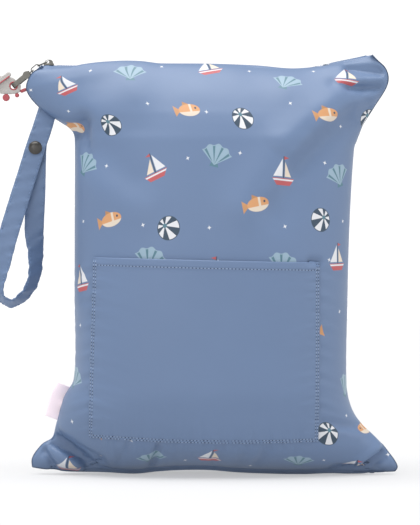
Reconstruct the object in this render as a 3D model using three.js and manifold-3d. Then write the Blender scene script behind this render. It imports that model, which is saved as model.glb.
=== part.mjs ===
// A filled waterproof bag that stands on its base: two printed cloth panels sewn round three sides with a zip
// across the top, a patch pocket, a wrist strap closed by a snap, a side label and a charm on the zip pull.
// Millimetres, +Z up, front facing -Y. The tables hold the bag about its own middle, and the finished group
// is then moved so that the origin is under the middle of the whole part.
import * as THREE from "three";
import { mergeVertices } from "three/addons/utils/BufferGeometryUtils.js";
import Module from "manifold-3d";

// Driving dimensions
const CLOTH = 1.2; // wall of the coated cloth
const SEAM_GAP = 0.3; // between two pieces that are sewn or laid together
const FLAT_SNAP = 0.35; // cloth closer to the floor than this lies flat on it
const ZIP_END = 0.93; // share of the mouth that the zip covers
const SECTION_STEPS = 160; // steps used to measure along one section
const FRONT_GRID = { columns: 36, rows: 30 };
const BACK_GRID = { columns: 22, rows: 30 };

const POCKET = {
  topLeft: [-99.8, 188.7], topRight: [91.6, 184], bottomLeft: [-104.1, 35], bottomRight: [91.2, 31.7],
  topSag: 1, bottomSag: 2.2, // how far the middle of the edge hangs below its ends
  wall: 1.2, hemHeight: 8, hemWall: 2, gap: 0.6, mouthGap: 2.6,
  columns: 20, rows: 12,
};
const STRAP = { width: 17.2, thickness: 1.6, stepsPerRow: 4 };
const SNAP = { radius: 5.9, height: 2.2, coreRadius: 4.4, sides: 20 };
const LABEL = { lowShare: 0.196, highShare: 0.286, reach: 10.6, thickness: 0.9, rows: 4 };
const ZIP = {
  tapeThickness: 1.2, seamGap: 1.15, coilWidth: 4.6, trough: 0.7, crest: 1.3, teeth: 34, steps: 30,
  coilStart: -0.88, // share of the mouth where the closed coil starts, behind the slider
};
const SLIDER = {
  along: -0.925, length: 9, width: 6.4, plate: 1.5, archHeight: 3.8, archWidth: 1.4, holeRadius: 1.4, lift: 1,
};
const ARCH_HOLE = { x: -SLIDER.length * 0.16, z: SLIDER.plate * 0.9 + SLIDER.archHeight * 0.5 };
const LINK = { wire: 0.45, radius: 2.1, sides: 6, steps: 14 };
const CLASP = { depth: 7.6, strip: 1.2, width: 4.4, headRadius: 3.4, eyeRadius: 1.8 };
const CHARM = {
  thickness: 4, tilt: 8, holeRadius: 2.9, length: 36, height: 15,
  wing: { x: -2.8, z: 4.3, half: 10, width: 4.4, turn: 44, thickness: 2 },
  tail: { x: 17.3, z: -2, half: 2.8, width: 2.4, turn: 32, thickness: 3 },
  wheels: [{ x: 3.1, z: -10.35, radius: 3 }, { x: 12.3, z: -7, radius: 1.7 }],
  wheelThickness: 3,
};
const CHARM_HOLE = { x: CHARM.length * 0.23, z: CHARM.height * 0.04 };

// Names the columns of a table that is written row by row.
function table(columns, rows) {
  return Object.fromEntries(columns.map((column, k) => [column, rows.map((row) => row[k])]));
}

// One row for each section, from the bottom seam to the zip. left and right are the side seams, front and
// back how far the middle stands out of the seam plane, and box how square the section is, from a lens at 1.
// level is how far out the middle's height reaches before it runs to the height of the seams.
const SECTIONS = table(
  ["share", "leftX", "leftZ", "rightX", "rightZ", "front", "frontZ", "back", "backZ", "box", "level"],
  [
    [0, -156, 9, 161, 3, 0, 0, 0, 0, 1.35, 6],
    [0.05, -155.5, 16, 162, 8, 14, 0, 20, 0, 1.35, 6],
    [0.1, -148, 25, 154, 20, 31, 4, 38, 3, 1.4, 6],
    [0.145, -138, 32, 143, 32, 48, 13, 53, 11.5, 1.6, 6],
    [0.19, -135, 45, 131, 43, 59.5, 27, 61, 26, 1.9, 6],
    [0.25, -129.5, 66, 121.5, 58, 65.5, 49, 65.5, 48, 2.3, 6],
    [0.32, -120, 86, 117, 80, 69, 76, 67.5, 76, 2.6, 6],
    [0.5, -118, 160, 118, 156, 69, 152, 67, 152, 2.7, 6],
    [0.66, -118, 226, 120, 222, 64, 222, 62, 222, 2.6, 6],
    [0.79, -118.5, 288, 124, 284, 53, 286, 53, 286, 2.3, 5],
    [0.86, -126.5, 304, 132, 306, 44, 313, 47, 313, 1.9, 4],
    [0.91, -146.5, 319, 142, 322, 34, 331, 41, 330, 1.65, 4],
    [0.95, -160.5, 336, 153.5, 341, 20, 347, 33, 343, 1.7, 3],
    [0.98, -157, 349, 152.5, 354, 5, 356.5, 25, 350.5, 2.4, 3],
    [1, -148, 357.5, 141, 367, -9, 355, 17, 353.5, 5, 3],
  ],
);
const TURN_OVER = 0.85; // share of the rows above which the front may turn over the seam plane to the zip
const ROW_BUNCHING = 0.5; // how much closer the rows of cloth lie at the two ends than in the middle

// Dents and rolls in the cloth, as lines seen from the front. depth is inwards where it is below zero.
const FOLD_COLUMNS = ["name", "fromX", "fromZ", "toX", "toZ", "width", "depth"];
const FRONT_FOLDS = table(FOLD_COLUMNS, [
  ["left_dent", -137, 33, -92, 11, 8.5, -9],
  ["left_roll", -141, 17, -103, 5, 7, 3.5],
  ["left_ear", -150, 24, -136, 10, 4.5, -2.5],
  ["right_dent", 153, 20, 135, 4, 6, -5.5],
  ["right_roll", 104, 31, 148, 24, 9, 3],
  ["right_arch", 111, 2, 122, 3, 7, -6],
  ["top_left_dimple", -120, 299, -104, 319, 8, -7],
  ["top_left_crease", -111, 303, -107, 279, 6, -3],
  ["top_right_high", 122, 352, 153, 347, 6, -4],
  ["top_right_mid", 106, 338, 146, 336, 6, -3],
  ["top_right_drop", 141, 329, 80, 292, 15, -4],
  ["base_pleat_left", -40, 28, -52, 9, 5, -2],
  ["base_pleat_right", 30, 27, 24, 9, 5, -1.6],
  ["ridge_left", -108, 358, -62, 358, 15, 2.2],
  ["ridge_right", 42, 358, 78, 358, 18, -1.8],
]);
const BACK_FOLDS = table(FOLD_COLUMNS, [
  ["left_dent", -137, 34, -96, 13, 9, -7],
  ["right_dent", 143, 33, 98, 13, 9, -7],
  ["top_left_dimple", -121, 299, -101, 319, 9, -6],
  ["top_right_dimple", 126, 300, 103, 321, 9, -6],
  ["left_ear", -148, 24, -136, 10, 5, -2],
  ["right_ear", 152, 20, 137, 6, 5, -2],
]);

// The strap's middle line from the seam down the front strand, round the loop and up behind the snap.
// turn is how far its face has swung from the front, in degrees.
const STRAP_ROWS = table(["x", "y", "z", "turn"], [
  [-144.4, 0, 314.2, 0],
  [-148.2, -2.4, 301, 0],
  [-153.6, -2.4, 285.3, 0],
  [-160.6, -2.4, 262.5, 0],
  [-167.6, -4.5, 239.8, 0],
  [-177, -6.5, 208.3, 6],
  [-182.4, -6, 186, 18],
  [-186.2, -4, 167.5, 42],
  [-184.6, -1, 155.2, 62],
  [-174.1, 1, 149.4, 68],
  [-161.9, 3, 158.2, 64],
  [-154.9, 5.5, 174.1, 56],
  [-154.2, 7, 196, 42],
  [-155.3, 6, 213.5, 18],
  [-153.8, 2.6, 248.5, 0],
  [-152.9, 2.6, 285.3, 0],
  [-150.6, 2.6, 296, 0],
]);
const STRAP_ROOT_SLOPE = -31; // the sewn end follows the side seam
const SNAP_ROW = { front: 2, rear: 15 };

// The places where the pull's pieces hook into one another, after the slider's arch.
const PULL_JOINTS = table(["x", "y", "z"], [
  [-152, 7.6, 358.4],
  [-157.6, 5.6, 353.2],
  [-173.4, 5.6, 340.2],
]);
const HOOK = 2 * LINK.wire + 0.15; // how far a link's end reaches past the place where it hooks

const COLOURS = {
  cloth: 0x7389b3, pocket: 0x7389b3, tape: 0x5d709a, coil: 0x6a7ca4, steel: 0xb9b7b0, gunmetal: 0x5c5a55,
  white: 0xe6e1da, red: 0xb3545c, label: 0xecd5dd,
};

const { lerp } = THREE.MathUtils;
const wasm = await Module();
wasm.setup();

function material(colour, roughness, metalness = 0) {
  return new THREE.MeshStandardMaterial({ color: colour, roughness, metalness });
}

function named(name, geometry, look) {
  const mesh = new THREE.Mesh(geometry, look);
  mesh.name = name;
  return mesh;
}

// Reads a column of a table at any place between its rows, on a smooth curve through them.
function along(places, values, at) {
  const last = places.length - 1;
  let i = 0;
  while (i < last - 1 && at > places[i + 1]) i++;
  const slope = (k) => {
    const low = Math.max(k - 1, 0);
    const high = Math.min(k + 1, last);
    return (values[high] - values[low]) / (places[high] - places[low]);
  };
  const span = places[i + 1] - places[i];
  const t = (at - places[i]) / span;
  const t2 = t * t;
  const t3 = t2 * t;
  return (
    (2 * t3 - 3 * t2 + 1) * values[i] +
    (t3 - 2 * t2 + t) * span * slope(i) +
    (3 * t2 - 2 * t3) * values[i + 1] +
    (t3 - t2) * span * slope(i + 1)
  );
}

const sectionAt = (column, share) => along(SECTIONS.share, SECTIONS[column], share);

// The inside of one panel along the section at a share of its height, as evenly spaced points.
function sectionPoints(side, share, columns) {
  const facing = side === "front" ? -1 : 1;
  const [leftX, leftZ] = [sectionAt("leftX", share), sectionAt("leftZ", share)];
  const [rightX, rightZ] = [sectionAt("rightX", share), sectionAt("rightZ", share)];
  const middleZ = sectionAt(side + "Z", share) + CLOTH;
  const depth = sectionAt(side, share);
  const box = sectionAt("box", share);
  const level = sectionAt("level", share);
  const dense = [];
  for (let i = 0; i <= SECTION_STEPS; i++) {
    const angle = (i / SECTION_STEPS - 0.5) * Math.PI;
    const out = Math.sign(angle) * Math.abs(Math.sin(angle)) ** (2 / box);
    const x = (leftX + rightX) / 2 + (out * (rightX - leftX)) / 2;
    const y = facing * (SEAM_GAP / 2 + depth * Math.abs(Math.cos(angle)) ** (2 / box));
    const seamZ = out < 0 ? leftZ : rightZ;
    const z = middleZ + (seamZ - middleZ) * Math.abs(out) ** level;
    dense.push(new THREE.Vector3(x, y, z));
  }
  return evenly(dense, columns);
}

// The same line with its points at equal distances.
function evenly(points, steps) {
  const travelled = [0];
  for (let i = 1; i < points.length; i++) {
    travelled.push(travelled[i - 1] + points[i].distanceTo(points[i - 1]));
  }
  const total = travelled[points.length - 1];
  const even = [];
  let i = 0;
  for (let k = 0; k <= steps; k++) {
    const wanted = (total * k) / steps;
    while (i < points.length - 2 && travelled[i + 1] < wanted) i++;
    const t = (wanted - travelled[i]) / (travelled[i + 1] - travelled[i]);
    even.push(points[i].clone().lerp(points[i + 1], Math.min(t, 1)));
  }
  return even;
}

// How far the folds push the cloth at a place seen from the front.
function foldAt(folds, x, z) {
  const place = new THREE.Vector2(x, z);
  let push = 0;
  folds.depth.forEach((depth, i) => {
    const from = new THREE.Vector2(folds.fromX[i], folds.fromZ[i]);
    const line = new THREE.Vector2(folds.toX[i], folds.toZ[i]).sub(from);
    const t = THREE.MathUtils.clamp(place.clone().sub(from).dot(line) / line.lengthSq(), 0, 1);
    const away = place.distanceTo(from.addScaledVector(line, t));
    push += depth * Math.exp(-((away / folds.width[i]) ** 2));
  });
  return push;
}

// The outward direction at each point of a grid of rows.
function gridNormals(grid, facing) {
  const rows = grid.length - 1;
  const columns = grid[0].length - 1;
  return grid.map((row, j) =>
    row.map((point, i) => {
      const across = row[Math.min(i + 1, columns)].clone().sub(row[Math.max(i - 1, 0)]);
      const up = grid[Math.min(j + 1, rows)][i].clone().sub(grid[Math.max(j - 1, 0)][i]);
      return across.cross(up).multiplyScalar(-facing).normalize();
    }),
  );
}

// A closed wall between two grids of points, the outer one facing out.
function wallGeometry(outer, inner, facing) {
  const rows = outer.length;
  const columns = outer[0].length;
  const points = [...outer.flat(), ...inner.flat()];
  const index = [];
  const quad = (a, b, c, d) => index.push(...(facing < 0 ? [a, b, c, a, c, d] : [a, c, b, a, d, c]));
  const outerAt = (j, i) => j * columns + i;
  const innerAt = (j, i) => (rows + j) * columns + i;
  for (let j = 0; j < rows - 1; j++) {
    for (let i = 0; i < columns - 1; i++) {
      quad(outerAt(j, i), outerAt(j, i + 1), outerAt(j + 1, i + 1), outerAt(j + 1, i));
      quad(innerAt(j, i), innerAt(j + 1, i), innerAt(j + 1, i + 1), innerAt(j, i + 1));
    }
  }
  for (let i = 0; i < columns - 1; i++) {
    quad(outerAt(0, i), innerAt(0, i), innerAt(0, i + 1), outerAt(0, i + 1));
    quad(outerAt(rows - 1, i), outerAt(rows - 1, i + 1), innerAt(rows - 1, i + 1), innerAt(rows - 1, i));
  }
  for (let j = 0; j < rows - 1; j++) {
    quad(outerAt(j, 0), outerAt(j + 1, 0), innerAt(j + 1, 0), innerAt(j, 0));
    const end = columns - 1;
    quad(outerAt(j, end), innerAt(j, end), innerAt(j + 1, end), outerAt(j + 1, end));
  }
  const geometry = new THREE.BufferGeometry().setFromPoints(points);
  geometry.setIndex(index);
  geometry.computeVertexNormals();
  return geometry;
}

// The share of the height at which a row of cloth lies.
function rowShare(t) {
  return t - (ROW_BUNCHING / (2 * Math.PI)) * Math.sin(2 * Math.PI * t);
}

// One panel of the bag: its inside and outside as grids, with its folds pressed in.
function panelGrids(side, folds, { columns, rows }) {
  const facing = side === "front" ? -1 : 1;
  const plain = [];
  for (let j = 0; j <= rows; j++) plain.push(sectionPoints(side, rowShare(j / rows), columns));
  const plainNormals = gridNormals(plain, facing);
  const inner = plain.map((row, j) =>
    row.map((point, i) => {
      const onSeam = i === 0 || i === columns || j === 0 || j === rows;
      const push = onSeam ? 0 : foldAt(folds, point.x, point.z);
      const moved = point.clone().addScaledVector(plainNormals[j][i], push);
      moved.z = Math.max(moved.z, CLOTH);
      if (j < rows * TURN_OVER) moved.y = facing * Math.max(facing * moved.y, SEAM_GAP / 2);
      return moved;
    }),
  );
  const normals = gridNormals(inner, facing);
  const outer = inner.map((row, j) =>
    row.map((point, i) => {
      const moved = point.clone().addScaledVector(normals[j][i], CLOTH);
      const turnedOver = j >= rows * TURN_OVER && i > 0 && i < columns;
      if (!turnedOver) moved.y = facing * Math.max(facing * moved.y, SEAM_GAP / 2);
      if (moved.z < FLAT_SNAP) moved.z = 0;
      return moved;
    }),
  );
  return { outer, inner, facing };
}

// Where the front of the bag lies behind a place seen from the front.
function surfaceFinder(mesh) {
  const ray = new THREE.Raycaster();
  const toBack = new THREE.Vector3(0, 1, 0);
  return (x, z) => {
    ray.set(new THREE.Vector3(x, -1000, z), toBack);
    return ray.intersectObject(mesh)[0].point.y;
  };
}

// The patch pocket: sewn down on three sides, open along its hemmed top.
function pocketGeometry(frontY) {
  const { columns, rows } = POCKET;
  const seat = [];
  for (let j = 0; j <= rows; j++) {
    const row = [];
    for (let i = 0; i <= columns; i++) {
      const t = (0.5 - 0.5 * Math.cos((Math.PI * i) / columns) + i / columns) / 2;
      const sag = 4 * t * (1 - t);
      const low = lerp(POCKET.bottomLeft[1], POCKET.bottomRight[1], t) - sag * POCKET.bottomSag;
      const top = lerp(POCKET.topLeft[1], POCKET.topRight[1], t) - sag * POCKET.topSag;
      const hemStart = top - POCKET.hemHeight;
      const z = j < rows ? lerp(low, hemStart, (j / (rows - 1)) ** 1.4) : top;
      const rise = (z - low) / (top - low);
      const left = lerp(POCKET.bottomLeft[0], POCKET.topLeft[0], rise);
      const right = lerp(POCKET.bottomRight[0], POCKET.topRight[0], rise);
      const x = lerp(left, right, t);
      row.push(new THREE.Vector3(x, frontY(x, z), z));
    }
    seat.push(row);
  }
  const normals = gridNormals(seat, -1);
  const lift = (extra) =>
    seat.map((row, j) =>
      row.map((point, i) => {
        const slack = Math.sin((Math.PI * i) / columns) * (j / rows) ** 2;
        const out = POCKET.gap + (POCKET.mouthGap - POCKET.gap) * slack + extra(j);
        return point.clone().addScaledVector(normals[j][i], out);
      }),
    );
  const wall = (j) => (j >= rows - 1 ? POCKET.hemWall : POCKET.wall);
  return wallGeometry(lift(wall), lift(() => 0), -1);
}

// A flat band through stations that give its middle, its width direction and its upper face.
function bandGeometry(stations) {
  const points = stations.flatMap(({ middle, across, up, width, low, high }) => {
    const half = across.clone().multiplyScalar(width / 2);
    const left = middle.clone().sub(half);
    const right = middle.clone().add(half);
    return [
      left.clone().addScaledVector(up, low), right.clone().addScaledVector(up, low),
      right.clone().addScaledVector(up, high), left.clone().addScaledVector(up, high),
    ];
  });
  const index = [];
  const quad = (a, b, c, d) => index.push(a, b, c, a, c, d);
  for (let k = 0; k < stations.length - 1; k++) {
    for (let side = 0; side < 4; side++) {
      const next = (side + 1) % 4;
      quad(4 * k + side, 4 * k + next, 4 * k + 4 + next, 4 * k + 4 + side);
    }
  }
  const end = 4 * (stations.length - 1);
  quad(3, 2, 1, 0);
  quad(end, end + 1, end + 2, end + 3);
  const geometry = new THREE.BufferGeometry().setFromPoints(points);
  geometry.setIndex(index);
  const solid = solidOf(geometry);
  if (solid.volume() < 0) geometry.index.array.reverse();
  geometry.computeVertexNormals();
  return geometry;
}

function solidOf(geometry) {
  const bare = geometry.clone();
  bare.deleteAttribute("normal");
  bare.deleteAttribute("uv");
  const merged = mergeVertices(bare, 1e-3);
  return new wasm.Manifold(
    new wasm.Mesh({
      numProp: 3,
      vertProperties: merged.attributes.position.array,
      triVerts: new Uint32Array(merged.index.array),
    }),
  );
}

function joined(...geometries) {
  const mesh = geometries.map(solidOf).reduce((whole, next) => whole.add(next)).getMesh();
  const geometry = new THREE.BufferGeometry();
  geometry.setAttribute("position", new THREE.BufferAttribute(mesh.vertProperties, 3));
  geometry.setIndex(new THREE.BufferAttribute(mesh.triVerts, 1));
  geometry.computeVertexNormals();
  return geometry;
}

// The strap as a band of stations, its sewn end cut along the side seam.
function strapStations() {
  const count = STRAP_ROWS.x.length;
  const places = STRAP_ROWS.x.map((x, i) => i);
  const at = (column, place) => along(places, STRAP_ROWS[column], place);
  const pointAt = (place) => new THREE.Vector3(at("x", place), at("y", place), at("z", place));
  const stations = [];
  const steps = (count - 1) * STRAP.stepsPerRow;
  for (let k = 0; k <= steps; k++) {
    const place = k / STRAP.stepsPerRow;
    const before = pointAt(Math.max(place - 0.05, 0));
    const onward = pointAt(Math.min(place + 0.05, count - 1)).sub(before).normalize();
    const flat = new THREE.Vector3(0, -1, 0).cross(onward).normalize();
    const face = onward.clone().cross(flat).normalize();
    const turn = THREE.MathUtils.degToRad(at("turn", place));
    const across = flat.multiplyScalar(Math.cos(turn)).addScaledVector(face, Math.sin(turn));
    const root = Math.max(1 - place / 2, 0);
    const slope = THREE.MathUtils.degToRad(STRAP_ROOT_SLOPE);
    const seamward = new THREE.Vector3(-Math.cos(slope), 0, -Math.sin(slope));
    across.lerp(seamward.multiplyScalar(Math.sign(seamward.dot(across))), root).normalize();
    const up = across.clone().cross(onward).normalize();
    const half = STRAP.thickness / 2;
    stations.push({ middle: pointAt(place), across, up, width: STRAP.width, low: -half, high: half });
  }
  return stations;
}

// One half of the snap: a shallow dome turned about its own axis and laid on the strap, facing front or rear.
function snapDome(facing, y) {
  const { radius, height, sides } = SNAP;
  const rim = 0.6;
  const profile = [
    new THREE.Vector2(0, 0), new THREE.Vector2(radius, 0), new THREE.Vector2(radius, rim),
    new THREE.Vector2(radius * 0.86, height * 0.7), new THREE.Vector2(radius * 0.5, height * 0.95),
    new THREE.Vector2(0, height),
  ];
  const dome = new THREE.LatheGeometry(profile, sides);
  if (facing < 0) dome.rotateX(Math.PI);
  dome.translate(0, y, 0);
  return dome;
}

// The label folded into the left seam, as a band that follows the seam.
function labelStations() {
  const seamAt = (share) => new THREE.Vector3(sectionAt("leftX", share), 0, sectionAt("leftZ", share));
  const from = seamAt(LABEL.lowShare);
  const to = seamAt(LABEL.highShare);
  const up = to.clone().sub(from).normalize();
  const outward = new THREE.Vector3(-up.z, 0, up.x);
  const stations = [];
  for (let k = 0; k <= LABEL.rows; k++) {
    const seam = seamAt(lerp(LABEL.lowShare, LABEL.highShare, k / LABEL.rows));
    const middle = seam.addScaledVector(outward, CLOTH + 2 * SEAM_GAP + LABEL.reach / 2);
    stations.push({
      middle, across: outward, up: new THREE.Vector3(0, 1, 0), width: LABEL.reach,
      low: -LABEL.thickness / 2, high: LABEL.thickness / 2,
    });
  }
  return stations;
}

// The zip's line across the mouth, halfway between the two panels' top edges.
function zipLine(frontGrids, backGrids) {
  const edge = ({ outer, inner, facing }) => {
    const last = outer.length - 1;
    const points = outer[last].map((point, i) => {
      const middle = point.clone().lerp(inner[last][i], 0.5);
      middle.y = facing * Math.min(facing * point.y, facing * inner[last][i].y);
      return middle;
    });
    return (t) => {
      const i = Math.min(Math.floor(t * (points.length - 1)), points.length - 2);
      return points[i].clone().lerp(points[i + 1], t * (points.length - 1) - i);
    };
  };
  const front = edge(frontGrids);
  const back = edge(backGrids);
  return (share) => {
    const t = (share + 1) / 2;
    const near = front(t);
    const far = back(t);
    const ahead = front(Math.min(t + 0.02, 1)).sub(front(Math.max(t - 0.02, 0))).normalize();
    const across = far.clone().sub(near);
    const gap = across.length();
    across.normalize();
    const up = ahead.clone().cross(across).normalize();
    return { middle: near.lerp(far, 0.5), across, up, ahead, gap };
  };
}

function tapeStations(zipAt) {
  const stations = [];
  for (let k = 0; k <= ZIP.steps; k++) {
    const spot = zipAt(lerp(-ZIP_END, ZIP_END, k / ZIP.steps));
    const half = ZIP.tapeThickness / 2;
    stations.push({ ...spot, width: spot.gap - 2 * ZIP.seamGap, low: -half, high: half });
  }
  return stations;
}

function coilStations(zipAt, from, to) {
  const stations = [];
  for (let k = 0; k <= ZIP.teeth * 2; k++) {
    const spot = zipAt(lerp(from, to, k / (ZIP.teeth * 2)));
    const low = ZIP.tapeThickness / 2 + SEAM_GAP;
    const high = low + (k % 2 ? ZIP.crest : ZIP.trough);
    stations.push({ ...spot, width: Math.min(ZIP.coilWidth, spot.gap - 2 * ZIP.seamGap), low, high });
  }
  return stations;
}

// The slider's plate with the arch that holds the pull, made about its own middle and lying along X.
function sliderGeometry() {
  const { length, width, plate, archHeight, archWidth, holeRadius } = SLIDER;
  const plan = new THREE.Shape();
  plan.moveTo(-length / 2, -width * 0.32);
  plan.quadraticCurveTo(-length * 0.1, -width * 0.36, length * 0.25, -width / 2);
  plan.quadraticCurveTo(length / 2, -width / 2, length / 2, 0);
  plan.quadraticCurveTo(length / 2, width / 2, length * 0.25, width / 2);
  plan.quadraticCurveTo(-length * 0.1, width * 0.36, -length / 2, width * 0.32);
  const base = new THREE.ExtrudeGeometry(plan, { depth: plate, bevelEnabled: false, curveSegments: 4 });
  const profile = new THREE.Shape();
  profile.moveTo(-length * 0.42, 0);
  profile.quadraticCurveTo(-length * 0.5, archHeight, 0, archHeight);
  profile.quadraticCurveTo(length * 0.42, archHeight, length * 0.4, 0);
  const hole = new THREE.Path();
  const holeZ = ARCH_HOLE.z - plate * 0.9;
  hole.absellipse(ARCH_HOLE.x, holeZ, holeRadius * 1.25, holeRadius, 0, Math.PI * 2, false);
  profile.holes.push(hole);
  const archSize = { depth: archWidth, bevelEnabled: false, curveSegments: 6 };
  const arch = new THREE.ExtrudeGeometry(profile, archSize);
  arch.rotateX(Math.PI / 2);
  arch.translate(0, archWidth / 2, plate * 0.9);
  return joined(base, arch);
}

// A wire link of a given length, lying along X about the origin and facing Z.
function linkGeometry(length) {
  const ring = new THREE.TorusGeometry(LINK.radius, LINK.wire, LINK.sides, LINK.steps);
  const points = ring.attributes.position;
  const stretch = length / 2 - LINK.radius - LINK.wire;
  for (let i = 0; i < points.count; i++) points.setX(i, points.getX(i) + Math.sign(points.getX(i)) * stretch);
  return ring;
}

// The pull's clasp: a small eye, a flat strip bent into a long loop and a round head on its front. It lies
// along X with its eye at the origin and the end of its loop at the given reach.
function claspGeometry(reach) {
  const { depth, strip, width, headRadius, eyeRadius } = CLASP;
  const length = reach - eyeRadius;
  const loop = (end, half) => {
    const outline = new THREE.Path();
    outline.absarc(end - half, 0, half, -Math.PI / 2, Math.PI / 2, false);
    outline.absarc(half, 0, half, Math.PI / 2, (3 * Math.PI) / 2, false);
    return outline;
  };
  const outline = new THREE.Shape(loop(length, depth / 2).getPoints(5));
  const inside = loop(length - 2 * strip, depth / 2 - strip).getPoints(5);
  outline.holes.push(new THREE.Path(inside.map((p) => p.add(new THREE.Vector2(strip, 0)))));
  const bent = new THREE.ExtrudeGeometry(outline, { depth: width, bevelEnabled: false });
  bent.translate(eyeRadius, 0, -width / 2);
  const disc = new THREE.CylinderGeometry(headRadius, headRadius, strip, 16);
  disc.translate(eyeRadius + depth / 2, depth / 2 - strip / 2, 0);
  const eye = new THREE.TorusGeometry(eyeRadius, LINK.wire, LINK.sides, LINK.steps);
  return joined(bent, disc, eye);
}

// A moulded piece of the charm: an outline in the plane of the charm with softened edges.
function moulded(outline, thickness, lift, bevel = 0.5) {
  const geometry = new THREE.ExtrudeGeometry(outline, {
    depth: thickness - 2 * bevel, bevelEnabled: bevel > 0, bevelThickness: bevel, bevelSize: bevel,
    bevelOffset: -bevel, bevelSegments: 1, curveSegments: 5,
  });
  geometry.rotateX(Math.PI / 2);
  geometry.translate(0, -lift - bevel + thickness, 0);
  return geometry;
}

// A bar with round ends about its own middle, turned by an angle.
function barOutline({ x, z, half, width, turn }) {
  const angle = THREE.MathUtils.degToRad(turn);
  const reach = half - width / 2;
  const end = { x: reach * Math.cos(angle), z: reach * Math.sin(angle) };
  const outline = new THREE.Shape();
  outline.absarc(x + end.x, z + end.z, width / 2, angle - Math.PI / 2, angle + Math.PI / 2, false);
  outline.absarc(x - end.x, z - end.z, width / 2, angle + Math.PI / 2, angle + (3 * Math.PI) / 2, false);
  return outline;
}

// A toy plane in side view, nose to the left, about the middle of its hull. Its own X is its length.
function charmShapes() {
  const { length, height, holeRadius } = CHARM;
  const hull = new THREE.Shape();
  hull.moveTo(-length * 0.42, height * 0.34);
  hull.quadraticCurveTo(-length * 0.1, height * 0.62, length * 0.2, height * 0.5);
  hull.lineTo(length * 0.4, height * 0.13);
  hull.lineTo(length * 0.4, -height * 0.24);
  hull.quadraticCurveTo(length * 0.22, -height * 0.6, -length * 0.42, -height * 0.46);
  const eye = new THREE.Path();
  eye.absarc(CHARM_HOLE.x, CHARM_HOLE.z, holeRadius, 0, Math.PI * 2, false);
  hull.holes.push(eye);
  const nose = new THREE.Shape();
  nose.moveTo(-length * 0.42 - SEAM_GAP, height * 0.34);
  nose.lineTo(-length * 0.42 - SEAM_GAP, -height * 0.46);
  nose.quadraticCurveTo(-length * 0.51, -height * 0.4, -length * 0.51, -height * 0.06);
  nose.quadraticCurveTo(-length * 0.51, height * 0.3, -length * 0.42 - SEAM_GAP, height * 0.34);
  const wheels = CHARM.wheels.map(({ x, z, radius }) => {
    const wheel = new THREE.Shape();
    wheel.absarc(x, z, radius, 0, Math.PI * 2, false);
    return wheel;
  });
  return { hull, nose, wheels, tail: barOutline(CHARM.tail), wing: barOutline(CHARM.wing) };
}

function buildBag() {
  const bag = new THREE.Group();
  const cloth = material(COLOURS.cloth, 0.62);
  const strapCloth = material(COLOURS.pocket, 0.6);
  const steel = material(COLOURS.steel, 0.3, 1);
  const gunmetal = material(COLOURS.gunmetal, 0.4, 1);

  const front = panelGrids("front", FRONT_FOLDS, FRONT_GRID);
  const back = panelGrids("back", BACK_FOLDS, BACK_GRID);
  const frontMesh = named("front_panel", wallGeometry(front.outer, front.inner, front.facing), cloth);
  bag.add(frontMesh);
  bag.add(named("back_panel", wallGeometry(back.outer, back.inner, back.facing), cloth));
  bag.add(named("front_pocket", pocketGeometry(surfaceFinder(frontMesh)), strapCloth));
  bag.add(named("side_label", bandGeometry(labelStations()), material(COLOURS.label, 0.7)));

  const zipAt = zipLine(front, back);
  bag.add(named("zip_tape", bandGeometry(tapeStations(zipAt)), material(COLOURS.tape, 0.75)));
  const coil = coilStations(zipAt, ZIP.coilStart, ZIP_END);
  bag.add(named("zip_coil", bandGeometry(coil), material(COLOURS.coil, 0.5)));
  const slider = zipSlider(zipAt, steel);
  bag.add(slider);

  const stations = strapStations();
  bag.add(named("wrist_strap", bandGeometry(stations), strapCloth));
  bag.add(...snapMeshes(stations, gunmetal));
  bag.add(...pullMeshes(archHole(slider), steel, gunmetal));

  bag.updateMatrixWorld(true);
  const box = new THREE.Box3().setFromObject(bag, true);
  bag.position.set(-(box.min.x + box.max.x) / 2, -(box.min.y + box.max.y) / 2, -box.min.z);
  return bag;
}

function zipSlider(zipAt, look) {
  const spot = zipAt(SLIDER.along);
  const slider = named("zip_slider", sliderGeometry(), look);
  slider.position.copy(spot.middle).addScaledVector(spot.up, SLIDER.lift);
  const across = new THREE.Vector3(0, 1, 0);
  const ahead = spot.ahead.clone().projectOnPlane(across).normalize();
  const basis = new THREE.Matrix4().makeBasis(ahead, across, ahead.clone().cross(across));
  slider.quaternion.setFromRotationMatrix(basis);
  return slider;
}

// The middle of the hole in the slider's arch.
function archHole(slider) {
  slider.updateMatrixWorld(true);
  return new THREE.Vector3(ARCH_HOLE.x, 0, ARCH_HOLE.z).applyMatrix4(slider.matrixWorld);
}

// The snap's cap on the front strand, its rear cap behind the loop's end and its core between them.
function snapMeshes(stations, look) {
  const near = stations[SNAP_ROW.front * STRAP.stepsPerRow].middle;
  const far = stations[SNAP_ROW.rear * STRAP.stepsPerRow].middle;
  const clear = STRAP.thickness / 2 + SEAM_GAP;
  const gap = far.y - near.y - 2 * clear;
  const core = new THREE.CylinderGeometry(SNAP.coreRadius, SNAP.coreRadius, gap, SNAP.sides);
  core.translate(0, near.y + clear + gap / 2, 0);
  const pieces = [
    named("snap_cap", snapDome(-1, near.y - clear), look),
    named("snap_core", core, look),
    named("snap_back", snapDome(1, far.y + clear), look),
  ];
  pieces.forEach((piece) => piece.position.set(near.x, 0, near.z));
  return pieces;
}

// A mesh turned so that its own X runs from one place to another and its own Z faces front, spun about its X.
function aim(mesh, from, to, spin) {
  const onward = to.clone().sub(from).normalize();
  const facing = new THREE.Vector3(0, -1, 0).projectOnPlane(onward).normalize();
  facing.applyAxisAngle(onward, THREE.MathUtils.degToRad(spin));
  const basis = new THREE.Matrix4().makeBasis(onward, facing.clone().cross(onward), facing);
  mesh.quaternion.setFromRotationMatrix(basis);
  return mesh;
}

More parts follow.
